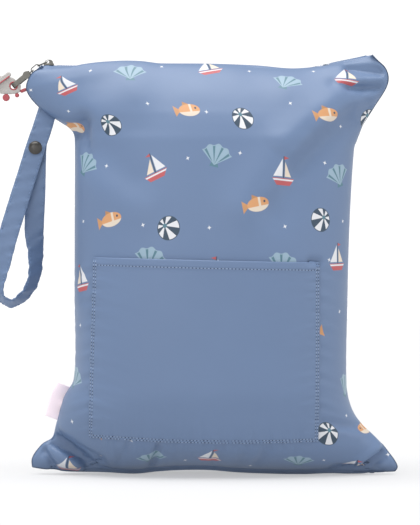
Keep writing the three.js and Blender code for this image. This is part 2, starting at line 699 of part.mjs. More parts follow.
function link(name, from, to, spin, fromReach, toReach, look) {
  const onward = to.clone().sub(from).normalize();
  const start = from.clone().addScaledVector(onward, -fromReach);
  const end = to.clone().addScaledVector(onward, toReach);
  const mesh = aim(named(name, linkGeometry(start.distanceTo(end)), look), start, end, spin);
  mesh.position.copy(start.lerp(end, 0.5));
  return mesh;
}

function pullMeshes(arch, steel, gunmetal) {
  const joints = PULL_JOINTS.x.map((x, i) => new THREE.Vector3(x, PULL_JOINTS.y[i], PULL_JOINTS.z[i]));
  const [first, second, eye] = joints;
  const reach = second.distanceTo(eye) + CLASP.strip * 0.9;
  const clasp = aim(named("pull_clasp", claspGeometry(reach), gunmetal), second, eye, 90);
  clasp.position.copy(second);
  return [
    link("pull_link_1", arch, first, 90, LINK.wire, HOOK, steel),
    link("pull_link_2", first, second, 0, HOOK, LINK.wire, steel),
    clasp,
    charm(eye),
  ];
}

// The charm, hung by its eye. Its wing lies across the front of its hull.
function charm(at) {
  const { thickness, tail, wing, wheelThickness, tilt } = CHARM;
  const shapes = charmShapes();
  const group = new THREE.Group();
  const front = thickness / 2;
  const wingFront = front + SEAM_GAP + wing.thickness;
  const red = material(COLOURS.red, 0.45);
  const white = material(COLOURS.white, 0.5);
  group.add(named("charm_hull", moulded(shapes.hull, thickness, front), white));
  group.add(named("charm_nose", moulded(shapes.nose, thickness, front), red));
  group.add(named("charm_tail", moulded(shapes.tail, tail.thickness, tail.thickness / 2), red));
  group.add(named("charm_wing", moulded(shapes.wing, wing.thickness, wingFront), white));
  shapes.wheels.forEach((wheel, k) => {
    group.add(named(`charm_wheel_${k + 1}`, moulded(wheel, wheelThickness, wheelThickness / 2), red));
  });
  group.children.forEach((piece) => piece.geometry.translate(-CHARM_HOLE.x, 0, -CHARM_HOLE.z));
  group.position.copy(at);
  group.rotation.y = THREE.MathUtils.degToRad(tilt);
  return group;
}

export default buildBag();
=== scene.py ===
"""The looks of a filled waterproof bag of printed cloth, with a pocket, a wrist strap, a zip and its charm.

Lengths in the tables are millimetres about the bag's own middle. Meshes are made in metres in the row
frame. The front faces -Y and +Z is up.
"""
import math

import bpy
import numpy as np
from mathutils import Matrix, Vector
from mathutils.bvhtree import BVHTree


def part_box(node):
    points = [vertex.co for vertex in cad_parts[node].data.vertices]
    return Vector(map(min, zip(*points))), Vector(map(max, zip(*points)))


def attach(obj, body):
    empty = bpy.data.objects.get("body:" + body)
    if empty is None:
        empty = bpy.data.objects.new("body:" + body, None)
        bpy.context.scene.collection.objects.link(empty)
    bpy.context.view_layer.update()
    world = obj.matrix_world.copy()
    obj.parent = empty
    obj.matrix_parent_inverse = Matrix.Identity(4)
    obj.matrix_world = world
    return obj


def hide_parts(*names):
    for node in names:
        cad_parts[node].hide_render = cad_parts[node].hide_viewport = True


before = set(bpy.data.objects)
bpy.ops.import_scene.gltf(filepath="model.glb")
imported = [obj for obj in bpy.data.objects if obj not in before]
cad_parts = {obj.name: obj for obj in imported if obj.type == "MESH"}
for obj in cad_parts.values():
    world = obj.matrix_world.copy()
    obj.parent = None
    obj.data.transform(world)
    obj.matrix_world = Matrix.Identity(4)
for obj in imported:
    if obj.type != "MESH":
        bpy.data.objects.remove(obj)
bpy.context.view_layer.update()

# Sizes
MM = 0.001
TINY = 1e-9
CLOTH = 1.2
SKIN = 0.8
SEAM_GAP = 0.3
SECTION_STEPS = 600
FINE_GRID = {"rows": 220, "columns": 200}
FACING = {"front": -1, "back": 1}
PANEL_FLAT = {"width": 335.0, "height": 445.0}
PRINT_START = {"front": (40, 30), "back": (101, 30)}
SIM = {"rows": 130, "columns": 116, "frames": 18, "reach": 5.0, "slack": 0.03, "hold": 0.45}
CLOTH_SETTINGS = {
    "quality": 5, "mass": 0.1, "tension_stiffness": 20.0, "compression_stiffness": 20.0,
    "shear_stiffness": 8.0, "bending_stiffness": 0.6, "use_pressure": True, "uniform_pressure_force": 2.0,
    "vertex_group_mass": "held",
}
POCKET = {
    "topLeft": (-99.8, 188.7), "topRight": (91.6, 184.0), "topSag": 1.0,
    "bottomLeft": (-104.1, 35.0), "bottomRight": (91.2, 31.7), "bottomSag": 2.2,
    "rows": 130, "columns": 150, "bunching": 0.6, "evening": 40,
    "gap": 0.5, "mouthGap": 2.4, "innerGap": 0.6, "wall": 1.0, "edge": 0.4, "edgeThinning": 0.35,
    "hemHeight": 8.0, "hemWall": 1.6, "hemSharpness": 3.0, "groove": 0.4, "grooveWidth": 0.9,
}
SEAM = {"radius": 0.5, "taper": 0.3, "low": 0.2, "high": 0.73, "base": 0.12}
STITCH = {
    "pitch": 3.0, "length": 2.2, "radius": 0.36, "hole": 0.42, "sway": 0.2, "insets": (1.0, 2.7),
    "top": 0.985, "steps": 60, "hemRow": 6.8, "hemStart": 3.0, "hemEnds": (0.012, 0.988), "hemSteps": 90,
}
STRAP = {
    "width": 17.2, "thickness": 1.6, "steps": 260, "sides": 28, "edgePower": 0.35, "facePower": 0.5,
    "crown": 0.3, "root": -0.34, "rootRows": 2, "rootSlope": -31, "probe": 0.05, "ripple": 0.4,
    "slant": 0.6, "stitchInset": 1.8, "stitchLift": 0.52,
}
SNAP = {"radius": 5.9, "height": 2.2, "sides": 72, "tip": 0.05}
LABEL = {
    "low": 0.196, "high": 0.286, "root": -2.6, "reach": 10.6, "thickness": 0.9, "rows": 40, "columns": 16,
    "bow": 0.9, "bowTurn": 0.8, "lowBow": 0.4, "edgePower": 8, "thinnest": 0.1,
}
ZIP = {
    "start": -0.88, "end": 0.93, "steps": 240, "pitch": 1.5,
    "tooth": 4.2, "wire": 0.6, "bow": 0.35, "lean": 9.0,
    "tape": {"end": 0.995, "thickness": 0.9, "columns": 12, "inset": 0.6, "insetShare": 0.2},
    "topstitch": {"from": 0.06, "to": 0.96, "inset": 2.6, "rows": 11},
}
CHARM = {
    "eye": (-173.4, 5.6, 340.2), "tilt": 8.0, "rim": 0.6, "steps": 49,
    "ring": {"radius": 3.3, "lift": 2.0},
    "wing": {"middle": (-11.1, 3.7), "turn": 44.0, "half": 7.6, "edge": 1.7, "lift": 4.2},
}
BEAD = {"reach": (-1, -0.72, 0, 0.72, 1), "girth": (0.35, 0.9, 1, 0.9, 0.35), "sides": 6}
ROD_SIDES = 8
RAY_START = -500.0
CAMERA = {"eye": (-0.9, -1900.0, 150.0), "aim": (-0.9, 0.0, 185.0), "lens": 148.9, "clipEnd": 20.0}


def table(columns, rows):
    """Names the columns of a table that is written row by row."""
    return {name: [row[k] for row in rows] for k, name in enumerate(columns)}


# One row for each section, from the bottom seam to the zip. left and right are the side seams, front and
# back how far the middle stands out of the seam plane, and box how square the section is, from a lens at 1.
# level is how far out the middle's height reaches before it runs to the height of the seams.
SECTIONS = table(
    ["share", "leftX", "leftZ", "rightX", "rightZ", "front", "frontZ", "back", "backZ", "box", "level"],
    [
        [0, -156, 6.5, 161, 3, 0, 3.5, 0, 0, 1.35, 6],
        [0.05, -155.5, 14.5, 162, 8, 14, 6, 20, 0, 1.35, 6],
        [0.1, -148, 25, 154, 20, 30, 11.5, 38, 3, 1.4, 6],
        [0.145, -138, 32, 143, 32, 45.5, 20, 53, 11.5, 1.6, 6],
        [0.19, -133.8, 45, 131, 43, 57, 33, 61, 26, 1.9, 6],
        [0.25, -127.8, 66, 121.5, 58, 64.5, 53, 65.5, 48, 2.25, 6],
        [0.32, -118.2, 86, 117, 80, 69, 76, 67.5, 76, 2.45, 6],
        [0.5, -118, 160, 118, 156, 69, 152, 67, 152, 2.45, 6],
        [0.66, -118, 226, 120, 222, 64, 222, 62, 222, 2.4, 6],
        [0.79, -118, 289.5, 124, 284, 53, 286, 53, 286, 2.3, 5],
        [0.815, -119.2, 298.5, 126.6, 292.5, 50.2, 296, 51.2, 296, 2.17, 4.6],
        [0.835, -123.5, 304, 129, 298.8, 47.6, 304, 49.5, 304, 2.05, 4.3],
        [0.86, -131.5, 309.3, 132, 306, 44, 313, 47, 313, 1.9, 4],
        [0.91, -148, 320.3, 142, 322, 34, 331, 41, 330, 1.65, 4],
        [0.95, -160.5, 336, 153.5, 341, 20, 347, 33, 343, 1.7, 3],
        [0.98, -157, 349, 152.5, 354, 5, 356.5, 25, 350.5, 2.4, 3],
        [1, -148, 357.5, 141, 367, -9, 355, 17, 353.5, 5, 3],
    ],
)
ROW_BUNCHING = 0.5

# Dents and rolls in the cloth, as lines seen from the front. depth is inwards where it is below zero. Rows
# with one name are one bent fold.
FOLD_COLUMNS = ["name", "fromX", "fromZ", "toX", "toZ", "width", "depth"]
FOLDS = {
    "front": table(FOLD_COLUMNS, [
        ["left_dent", -137, 33, -99, 9, 8.5, -9],
        ["left_roll", -141, 17, -103, 5, 7, 3.5],
        ["left_ear", -150, 24, -136, 10, 4.5, -2.5],
        ["right_dent", 153, 20, 135, 4, 6, -5.5],
        ["right_roll", 104, 31, 148, 24, 9, 3],
        ["right_arch", 111, 2, 122, 3, 7, -6],
        ["top_left_dimple", -120, 299, -110, 307, 8, -4],
        ["top_left_crease", -111, 303, -107, 279, 6, -2],
        ["top_right_high", 122, 352, 153, 347, 6, -2],
        ["top_right_mid", 106, 338, 146, 336, 6, -1.5],
        ["upper_left_fill", -96, 312, -70, 330, 20, 4],
        ["upper_right_fill", 98, 322, 70, 332, 20, 4],
        ["base_pleat_left", -40, 28, -52, 9, 5, -2],
        ["base_pleat_right", 30, 27, 24, 9, 5, -1.6],
        ["ridge_left", -108, 358, -62, 358, 15, 2.2],
        ["ridge_right", 42, 358, 78, 358, 18, -1.8],
    ]),
    "back": table(FOLD_COLUMNS, [
        ["left_dent", -137, 34, -96, 13, 9, -7],
        ["right_dent", 143, 33, 98, 13, 9, -7],
        ["top_left_dimple", -121, 299, -101, 319, 9, -6],
        ["top_right_dimple", 126, 300, 103, 321, 9, -6],
        ["left_ear", -148, 24, -136, 10, 5, -2],
        ["right_ear", 152, 20, 137, 6, 5, -2],
    ]),
}

# How far from a seam a fold is whole, how far a surface faces out before it is, and the share of the bag's
# depth that a fold may take.
FOLD_FADE = {"seam": 8.0, "facing": (0.1, 0.45), "share": 0.75}

# Finer folds of the front, pressed in once the cloth has settled.
CREASES = table(FOLD_COLUMNS, [
    ["left_valley", -137, 32, -125, 25, 4.6, -9],
    ["left_valley", -125, 25, -113, 16.5, 4.6, -10],
    ["left_valley", -113, 16.5, -103, 7, 4.6, -8],
    ["left_lip", -131, 38, -108, 22, 5, 2.5],
    ["left_lip", -108, 22, -97, 11, 5, 2.5],
    ["left_roll", -136, 22, -113, 6, 4.5, 2.5],
    ["left_ear", -146.5, 23, -138, 8, 2.6, -3],
    ["right_valley", 151.5, 19.5, 141, 12.5, 3.8, -5],
    ["right_valley", 141, 12.5, 131, 4, 3.8, -5],
    ["right_lip", 144.5, 23, 128, 12, 3.8, 3],
    ["right_arch", 108, 2.5, 122, 2.5, 4, -3],
    ["side_crease", 96, 48, 124, 43, 3.6, -1.8],
    ["side_roll", 98, 40.5, 127, 35, 4.5, 1.6],
    ["dimple", -120, 299, -110, 306, 6, -1.5],
    ["dimple", -110, 306, -109, 286, 3.6, -2.4],
    ["ear_valley_high", 121, 356, 149, 352.5, 4, -3.8],
    ["ear_ridge", 112, 341, 150, 345.5, 3.8, 1.6],
    ["ear_valley_low", 119, 335.5, 146, 338, 4, -3.6],
    ["drop_ridge", 150, 335, 118, 326, 11, 3],
    ["drop_ridge", 118, 326, 87, 305, 17, 5.6],
    ["drop_ridge", 87, 305, 64, 285, 18, 5.6],
    ["drop_ridge", 64, 285, 30, 232, 20, 3.6],
    ["drop_crest", 140, 328.5, 118, 321, 4.6, 1.2],
    ["drop_crest", 118, 321, 91, 300, 4.6, 1.6],
    ["drop_crest", 91, 300, 70, 277, 5, 1.6],
    ["drop_crest", 70, 277, 48, 244, 6.5, 1.2],
    ["drop_valley", 147, 320, 118, 309, 9, -3],
    ["drop_valley", 118, 309, 93, 285, 12, -5],
    ["drop_valley", 93, 285, 74, 261, 13, -5],
    ["drop_valley", 74, 261, 54, 228, 16, -3.2],
    ["shoulder_valley", -106, 296, -71, 254, 16, -2],
    ["shoulder_ridge", -98, 252, -58, 230, 17, 2],
    ["pocket_corner", 85, 184.5, 92, 184, 3.2, -3.4],
    ["pleat_deep", -45, 27, -51, 10, 2.8, -2.2],
    ["pleat_roll", -40, 26, -46, 10, 3.2, 1.4],
    ["pleat_left", -72, 26, -80, 12, 4, -1.6],
    ["pleat_middle", 8, 26, 2, 11, 4, -1.6],
    ["pleat_right", 48, 25, 40, 11, 4, -2],
])

# How the sewn edges gather: a mix of waves along the seam, each with its pitch and share.
PUCKER = {
    "height": 0.42, "reach": 6.0, "lift": 1.2,
    "body": 0.5, "bodyReach": 11.0, "slant": 0.35, "endFade": 0.08, "sideFade": 20.0,
}
PUCKER_WAVES = ((13.0, 1.0), (8.3, 0.6), (5.1, 0.4))

# How far the top of the bag rises or dips from its straight line, whole by the second share of its height.
TOP_LINE = table(["x", "lift"], [
    [-150, 0],
    [-118, 0.5],
    [-88, 1.8],
    [-50, 0.3],
    [0, -0.2],
    [40, -1.6],
    [69, -4],
    [90, -2.8],
    [114, -0.4],
    [150, 0],
])
TOP_LINE_SHARES = (0.86, 0.97)

# How far the base stands off the floor, gone by the second share of the bag's height.
BASE_LINE = table(["x", "lift"], [
    [-150, 0],
    [-128, 0.6],
    [-97, 1.6],
    [-66, 0.5],
    [-48, 2.3],
    [-27, 3.6],
    [-2, 3.6],
    [23, 1.6],
    [51, 0.5],
    [79, 0],
    [104, 0.8],
    [120, 0.2],
    [150, 0],
])
BASE_LINE_SHARES = (0.12, 0.24)

# The strap's middle line from the seam down the front strand, round the loop and up behind the snap. turn is
# how far its face has swung from the front, in degrees.
STRAP_ROWS = table(["x", "y", "z", "turn"], [
    [-144.4, 0, 314.2, 0],
    [-148.2, -2.4, 301, 0],
    [-153.6, -2.4, 285.3, 0],
    [-160.6, -2.4, 262.5, 0],
    [-167.6, -4.5, 239.8, 0],
    [-177, -6.5, 208.3, 6],
    [-182.4, -6, 186, 18],
    [-186.2, -4, 167.5, 42],
    [-184.6, -1, 155.2, 62],
    [-174.1, 1, 149.4, 68],
    [-161.9, 3, 158.2, 64],
    [-154.9, 5.5, 174.1, 56],
    [-154.2, 7, 196, 42],
    [-155.3, 6, 213.5, 18],
    [-153.8, 2.6, 248.5, 0],
    [-152.9, 2.6, 285.3, 0],
    [-150.6, 2.6, 296, 0],
])
SNAP_ROW = {"front": 2, "rear": 15}

# Colours, as linear light
BLUE = (0.123, 0.187, 0.318)
PALE_THREAD = (0.29, 0.365, 0.51)
PINK = (0.94, 0.81, 0.875)
PRINT = {
    "orange": (0.60, 0.30, 0.135), "cream": (0.66, 0.57, 0.47), "red": (0.43, 0.085, 0.095),
    "white": (0.66, 0.67, 0.70), "navy": (0.028, 0.055, 0.090), "teal": (0.080, 0.180, 0.230),
    "pale": (0.26, 0.37, 0.46),
}


def bag_middle():
    """The bag's own middle in the row frame, found from the snap, which lies on a row of the strap."""
    near, far = SNAP_ROW["front"], SNAP_ROW["rear"]
    y = (STRAP_ROWS["y"][near] + STRAP_ROWS["y"][far]) / 2
    low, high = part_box("snap_core")
    return np.array((low + high) / 2) / MM - [STRAP_ROWS["x"][near], y, STRAP_ROWS["z"][near]]


MIDDLE = bag_middle()


def in_frame(points):
    """Points of the tables as metres in the row frame."""
    return (np.asarray(points, float) + MIDDLE) * MM


def table_box(node):
    """The low and high corners of a CAD node's box in the tables' millimetres."""
    return [np.array(corner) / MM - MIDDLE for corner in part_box(node)]


# Surfaces

def along(places, values, at):
    """A column of a table, or a row of points, read at any places on a smooth curve through it."""
    places = np.asarray(places, float)
    values = np.asarray(values, float)
    at = np.asarray(at, float)
    last = len(places) - 1
    rows = np.arange(last + 1)
    low = np.maximum(rows - 1, 0)
    high = np.minimum(rows + 1, last)
    wide = (-1,) + (1,) * (values.ndim - 1)
    slopes = (values[high] - values[low]) / (places[high] - places[low]).reshape(wide)
    i = np.clip(np.searchsorted(places, at) - 1, 0, last - 1)
    span = places[i + 1] - places[i]
    t = (at - places[i]) / span
    wide = t.shape + (1,) * (values.ndim - 1)
    t = t.reshape(wide)
    span = span.reshape(wide)
    return (
        (2 * t**3 - 3 * t**2 + 1) * values[i]
        + (t**3 - 2 * t**2 + t) * span * slopes[i]
        + (3 * t**2 - 2 * t**3) * values[i + 1]
        + (t**3 - t**2) * span * slopes[i + 1]
    )


def travelled(points):
    """How far along a line, or along each row of a grid, its points lie."""
    steps = np.linalg.norm(np.diff(points, axis=-2), axis=-1)
    return np.insert(np.cumsum(steps, -1), 0, 0, axis=-1)


def read_along(values, far, at):
    """A line's points or directions, read at distances along it."""
    return np.stack([np.interp(at, far, values[:, k]) for k in range(3)], 1)


def evenly(points, steps):
    """The same line with its points at equal distances."""
    far = travelled(points)
    return read_along(points, far, np.linspace(0, far[-1], steps + 1))


def section(side, share, columns):
    """The inside of one panel along the section at a share of its height."""
    at = {name: float(along(SECTIONS["share"], SECTIONS[name], share)) for name in SECTIONS}
    angle = np.linspace(-math.pi / 2, math.pi / 2, SECTION_STEPS + 1)
    out = np.sign(angle) * np.abs(np.sin(angle)) ** (2 / at["box"])
    x = (at["leftX"] + at["rightX"]) / 2 + out * (at["rightX"] - at["leftX"]) / 2
    y = FACING[side] * (SEAM_GAP / 2 + at[side] * np.abs(np.cos(angle)) ** (2 / at["box"]))
    middle = at[side + "Z"] + CLOTH
    seam = np.where(out < 0, at["leftZ"], at["rightZ"])
    z = middle + (seam - middle) * np.abs(out) ** at["level"]
    reach = np.clip(x, TOP_LINE["x"][0], TOP_LINE["x"][-1])
    z += along(TOP_LINE["x"], TOP_LINE["lift"], reach) * eased_step(share, *TOP_LINE_SHARES)
    z += along(BASE_LINE["x"], BASE_LINE["lift"], reach) * (1 - eased_step(share, *BASE_LINE_SHARES))
    return evenly(np.stack([x, y, z], 1), columns)


def bunched(steps, amount):
    """Even steps from 0 to 1, drawn closer together at both ends."""
    t = np.linspace(0, 1, steps + 1)
    return t - amount / (2 * math.pi) * np.sin(2 * math.pi * t)


def unit(vectors):
    return vectors / np.maximum(np.linalg.norm(vectors, axis=-1, keepdims=True), TINY)


def blend(first, second, share):
    return first + (second - first) * share


def circle(sides):
    """Angles at even steps round a circle."""
    return np.linspace(0, 2 * math.pi, sides, endpoint=False)


def grid_normals(grid, facing):
    """The outward direction at each point of a grid of rows."""
    return unit(np.cross(np.gradient(grid, axis=1), np.gradient(grid, axis=0)) * -facing)


def fold_push(folds, x, z):
    """How far the folds push the cloth at places seen from the front."""
    place = np.stack([x, z], -1)
    pushes = {}
    for k, name in enumerate(folds["name"]):
        start = np.array([folds["fromX"][k], folds["fromZ"][k]], float)
        line = np.array([folds["toX"][k], folds["toZ"][k]]) - start
        t = np.clip((place - start) @ line / (line @ line), 0, 1)
        away = np.linalg.norm(place - start - t[..., None] * line, axis=-1)
        push = folds["depth"][k] * np.exp(-((away / folds["width"][k]) ** 2))
        before = pushes.get(name, 0)
        pushes[name] = np.where(np.abs(push) > np.abs(before), push, before)
    return sum(pushes.values())


def eased_step(values, low, high):
    """0 below low, 1 above high and a smooth rise between them."""
    t = np.clip((values - low) / (high - low), 0, 1)
    return t * t * (3 - 2 * t)


def pressed(grid, side, folds):
    """A panel with its folds pressed in, which fade at the seams and underneath and never meet the other."""
    normals = grid_normals(grid, FACING[side])
    push = fold_push(folds, grid[..., 0], grid[..., 2])
    far = travelled(grid)
    push *= eased_step(np.minimum(far, far[:, -1:] - far), 0, FOLD_FADE["seam"])
    push *= eased_step(normals[..., 1] * FACING[side], *FOLD_FADE["facing"])
    push[[0, -1]] = 0
    depth = np.maximum(grid[..., 1] * FACING[side], 0)
    inward = np.maximum(-push * normals[..., 1] * FACING[side], TINY)
    push *= np.where(push < 0, np.minimum(1, depth * FOLD_FADE["share"] / inward), 1)
    return grid + normals * push[..., None]


def panel_grid(side, rows, columns):
    """The outside of one panel as a grid of points, with its folds pressed in."""
    shares = bunched(rows, ROW_BUNCHING)
    plain = np.stack([section(side, share, columns) for share in shares])
    inner = pressed(plain, side, FOLDS[side])
    inner[..., 2] = np.maximum(inner[..., 2], CLOTH)
    outer = inner + grid_normals(inner, FACING[side]) * CLOTH
    outer[..., 2] = np.maximum(outer[..., 2], 0)
    return outer


SEWN_EDGES = (np.s_[0], np.s_[:, 0], np.s_[:, -1])


def sew(front, back):
    """Brings the two panels' bottom and side edges together."""
    for edge in SEWN_EDGES:
        middle = (front[edge] + back[edge]) / 2
        front[edge] = middle
        back[edge] = middle


def refined(grid, rows, columns):
    """A grid read more finely on smooth curves, first up and then across."""
    for steps in (rows, columns):
        last = len(grid) - 1
        grid = along(np.arange(last + 1), grid, np.linspace(0, last, steps + 1)).swapaxes(0, 1)
    return grid


def on_grid(grid, row, column):
    """A grid read between its points, at rows and columns that needn't be whole."""
    i = np.clip(np.floor(row).astype(int), 0, grid.shape[0] - 2)
    j = np.clip(np.floor(column).astype(int), 0, grid.shape[1] - 2)
    t = (row - i)[:, None]
    s = (column - j)[:, None]
    low = grid[i, j] * (1 - s) + grid[i, j + 1] * s
    high = grid[i + 1, j] * (1 - s) + grid[i + 1, j + 1] * s
    return low * (1 - t) + high * t


# Meshes

def grid_faces(rows, columns):
    index = np.arange(rows * columns).reshape(rows, columns)
    corners = [index[:-1, :-1], index[:-1, 1:], index[1:, 1:], index[1:, :-1]]
    return np.stack(corners, -1).reshape(-1, 4)


def mesh_object(name, points, faces, places=None):
    """A smooth mesh from points in metres. places are where they lie on the flat cloth, as its UVs."""
    mesh = bpy.data.meshes.new(name)
    mesh.from_pydata(np.asarray(points).tolist(), [], [[int(k) for k in face] for face in faces])
    if places is not None:
        loops = np.zeros(len(mesh.loops), np.int32)
        mesh.loops.foreach_get("vertex_index", loops)
        layer = mesh.uv_layers.new(name="cloth")
        layer.data.foreach_set("uv", np.asarray(places, np.float32)[loops].ravel())
    mesh.polygons.foreach_set("use_smooth", [True] * len(mesh.polygons))
    mesh.update()
    obj = bpy.data.objects.new(name, mesh)
    bpy.context.scene.collection.objects.link(obj)
    return obj


def wall_object(name, outer, inner, facing, places):
    """A closed wall of cloth between two grids of points, the outer one facing out."""
    rows, columns = outer.shape[:2]
    count = rows * columns
    index = np.arange(count).reshape(rows, columns)
    rim = np.concatenate([index[0, :-1], index[:-1, -1], index[-1, :0:-1], index[:0:-1, 0]])
    onward = np.roll(rim, -1)
    sides = np.stack([rim, rim + count, onward + count, onward], 1)
    front = grid_faces(rows, columns)
    faces = np.concatenate([front, front[:, ::-1] + count, sides])
    if facing > 0:
        faces = faces[:, ::-1]
    points = np.concatenate([outer.reshape(-1, 3), inner.reshape(-1, 3)])
    flat = np.concatenate([places.reshape(-1, 2)] * 2) * MM
    return mesh_object(name, in_frame(points), faces, flat)


def tube_faces(rings, sides):
    """Faces of a tube with a closed section, and a cap at each end."""
    ring = np.arange(sides)
    onward = np.roll(ring, -1)
    start = (np.arange(rings - 1) * sides)[:, None]
    walls = np.stack([start + ring, start + onward, start + sides + onward, start + sides + ring], -1)
    last = (rings - 1) * sides
    return [*walls.reshape(-1, 4), ring[::-1], ring + last]


def bead_shape(length, radius, bow):
    """One stitch or tooth lying along X: a short tapered bar whose ends dip by bow."""
    angle = circle(BEAD["sides"])
    ring = np.stack([np.zeros(len(angle)), np.cos(angle), np.sin(angle)], 1) * radius
    rings = [[length / 2 * x, 0, -bow * x * x] + ring * g for x, g in zip(BEAD["reach"], BEAD["girth"])]
    return np.concatenate(rings)


def beads_object(name, middles, ahead, up, length, radius, bow):
    """Many small bars in one mesh, each at its own place and along its own direction."""
    shape = bead_shape(length, radius, bow)
    side = unit(np.cross(up, ahead))
    up = np.cross(ahead, side)
    axes = np.stack([ahead, side, up], 1)
    points = middles[:, None] + np.einsum("kc,ncd->nkd", shape, axes)
    one = tube_faces(len(BEAD["reach"]), BEAD["sides"])
    faces = [face + k * len(shape) for k in range(len(middles)) for face in one]
    return mesh_object(name, in_frame(points.reshape(-1, 3)), faces)


def stitch_places(lines):
    """Stitches at even steps along lines of points and normals: middles, directions and outward sides."""
    rows = []
    for points, normals in lines:
        far = travelled(points)
        count = int(far[-1] // STITCH["pitch"])
        at = (np.arange(count) + 0.5) * far[-1] / count
        step = STITCH["pitch"] / 4
        ahead = read_along(points, far, at + step) - read_along(points, far, at - step)
        rows.append((read_along(points, far, at), unit(ahead), unit(read_along(normals, far, at))))
    return [np.concatenate(parts) for parts in zip(*rows)]


def stitches_object(name, lines):
    """A stitch at each place along the lines."""
    return beads_object(name, *stitch_places(lines), STITCH["length"], STITCH["radius"], STITCH["radius"])


def holes_object(name, lines):
    """Painted shade: dark dots between the stitches of the lines, where the cloth dips between them."""
    middles, ahead, up = stitch_places(lines)
    between = middles + ahead * STITCH["pitch"] / 2
    return beads_object(name, between, ahead, up, STITCH["hole"] * 2, STITCH["hole"], 0)


def rod_object(name, line, radius):
    """A thin round rod along a line in a plane facing front. radius is one, or one for each point."""
    side = unit(np.cross(unit(np.gradient(line, axis=0)), [0, 1, 0]))
    girth = np.broadcast_to(radius, len(line))
    angle = circle(ROD_SIDES)[:, None]
    rearward = np.sin(angle) * [0, 1, 0]
    rings = [at + r * (np.cos(angle) * out + rearward) for at, out, r in zip(line, side, girth)]
    return mesh_object(name, in_frame(np.concatenate(rings)), tube_faces(len(line), ROD_SIDES))


def turned_object(name, profile, origin, facing):
    """A round piece turned about Y: profile rows are radius and height above its seat."""
    angle = circle(SNAP["sides"])
    across, up = np.cos(angle), np.sin(angle) * facing
    rings = [np.stack([r * across, np.full(len(angle), facing * h), r * up], 1) for r, h in profile]
    return mesh_object(name, in_frame(np.concatenate(rings) + origin), tube_faces(len(profile), len(angle)))


def rounded_copy(node, name, voxel, passes, swell):
    """A CAD node's own shape with its edges worn round, then swollen to meet the pieces that it touches."""
    obj = bpy.data.objects.new(name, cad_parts[node].data.copy())
    bpy.context.scene.collection.objects.link(obj)
    remesh = obj.modifiers.new("Remesh", "REMESH")
    remesh.mode = "VOXEL"
    remesh.voxel_size = voxel * MM
    remesh.use_smooth_shade = True
    smooth = obj.modifiers.new("Smooth", "SMOOTH")
    smooth.iterations = passes
    outward = obj.modifiers.new("Swell", "DISPLACE")
    outward.mid_level = 0
    outward.strength = swell * MM
    worn = bpy.data.meshes.new_from_object(obj.evaluated_get(bpy.context.evaluated_depsgraph_get()))
    obj.modifiers.clear()
    obj.data = worn
    return obj


def dress(obj, material, slot, *nodes):
    """Gives a piece its material and sets it on the part in place of CAD nodes; slot is not used."""
    obj.data.materials.clear()
    obj.data.materials.append(material)
    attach(obj, "root")
    if nodes:
        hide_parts(*nodes)
    return obj


# Cloth settling

def settled(front, back):
    """Lets the two sewn panels settle as filled cloth, held at their seams and near where they start."""
    rows, columns = front.shape[:2]
    count = rows * columns
    index = np.arange(count).reshape(rows, columns)
    behind = index + count
    for edge in SEWN_EDGES:
        behind[edge] = index[edge]
    near = grid_faces(rows, columns)
    far = behind.ravel()[near][:, ::-1]
    used, faces = np.unique(np.concatenate([near, far]), return_inverse=True)
    start = in_frame(np.concatenate([front.reshape(-1, 3), back.reshape(-1, 3)])[used])
    cloth = mesh_object("settling_cloth", start, faces.reshape(-1, 4))
    add_slack(cloth, start)
    hold(cloth, used, index, behind)
    run_cloth(cloth)
    shown = cloth.evaluated_get(bpy.context.evaluated_depsgraph_get()).data
    moved = np.zeros(len(used) * 3, np.float32)
    shown.vertices.foreach_get("co", moved)
    bpy.data.objects.remove(cloth)
    step = (moved.reshape(-1, 3) - start) / MM
    gone = np.linalg.norm(step, axis=1, keepdims=True)
    step *= np.minimum(1, SIM["reach"] / np.maximum(gone, TINY))
    points = np.zeros((2 * count, 3))
    points[used] = start / MM - MIDDLE + step
    points[:, 2] = np.maximum(points[:, 2], 0)
    return points[index], points[behind]


def add_slack(cloth, start):
    """The cloth's own size: a little more of it than the shape that it starts in."""
    cloth.shape_key_add(name="as_sewn")
    key = cloth.shape_key_add(name="slack")
    middle = (start.min(0) + start.max(0)) / 2
    larger = (start - middle) * (1 + SIM["slack"]) + middle
    key.data.foreach_set("co", larger.astype(np.float32).ravel())


def hold(cloth, used, index, behind):
    """Seams and the mouth are held fast, the rest only lightly."""
    group = cloth.vertex_groups.new(name=CLOTH_SETTINGS["vertex_group_mass"])
    group.add(list(range(len(used))), SIM["hold"], "REPLACE")
    fast = np.concatenate([index[0], index[-1], behind[-1], index[:, 0], index[:, -1]])
    group.add([int(k) for k in np.searchsorted(used, np.unique(fast))], 1.0, "REPLACE")


def run_cloth(cloth):
    modifier = cloth.modifiers.new("Cloth", "CLOTH")
    for name, value in CLOTH_SETTINGS.items():
        setattr(modifier.settings, name, value)
    modifier.settings.rest_shape_key = cloth.data.shape_keys.key_blocks["slack"]
    modifier.settings.effector_weights.gravity = 0
    modifier.collision_settings.use_collision = False
    modifier.point_cache.frame_end = SIM["frames"]
    for number in range(1, SIM["frames"] + 1):
        bpy.context.scene.frame_set(number)


# Materials

def feed(socket, value):
    """Sets an input to a constant, or links it to a field or another node's output."""
    source = value.socket if isinstance(value, Field) else value
    if isinstance(source, bpy.types.NodeSocket):
        source.id_data.links.new(source, socket)
    else:
        socket.default_value = source


def feed_all(node, inputs):
    for name, value in inputs.items():
        feed(node.inputs[name], value)


def add_node(tree, kind, **inputs):
    """A new shader node with some of its inputs fed."""
    node = tree.nodes.new("ShaderNode" + kind)
    feed_all(node, inputs)
    return node


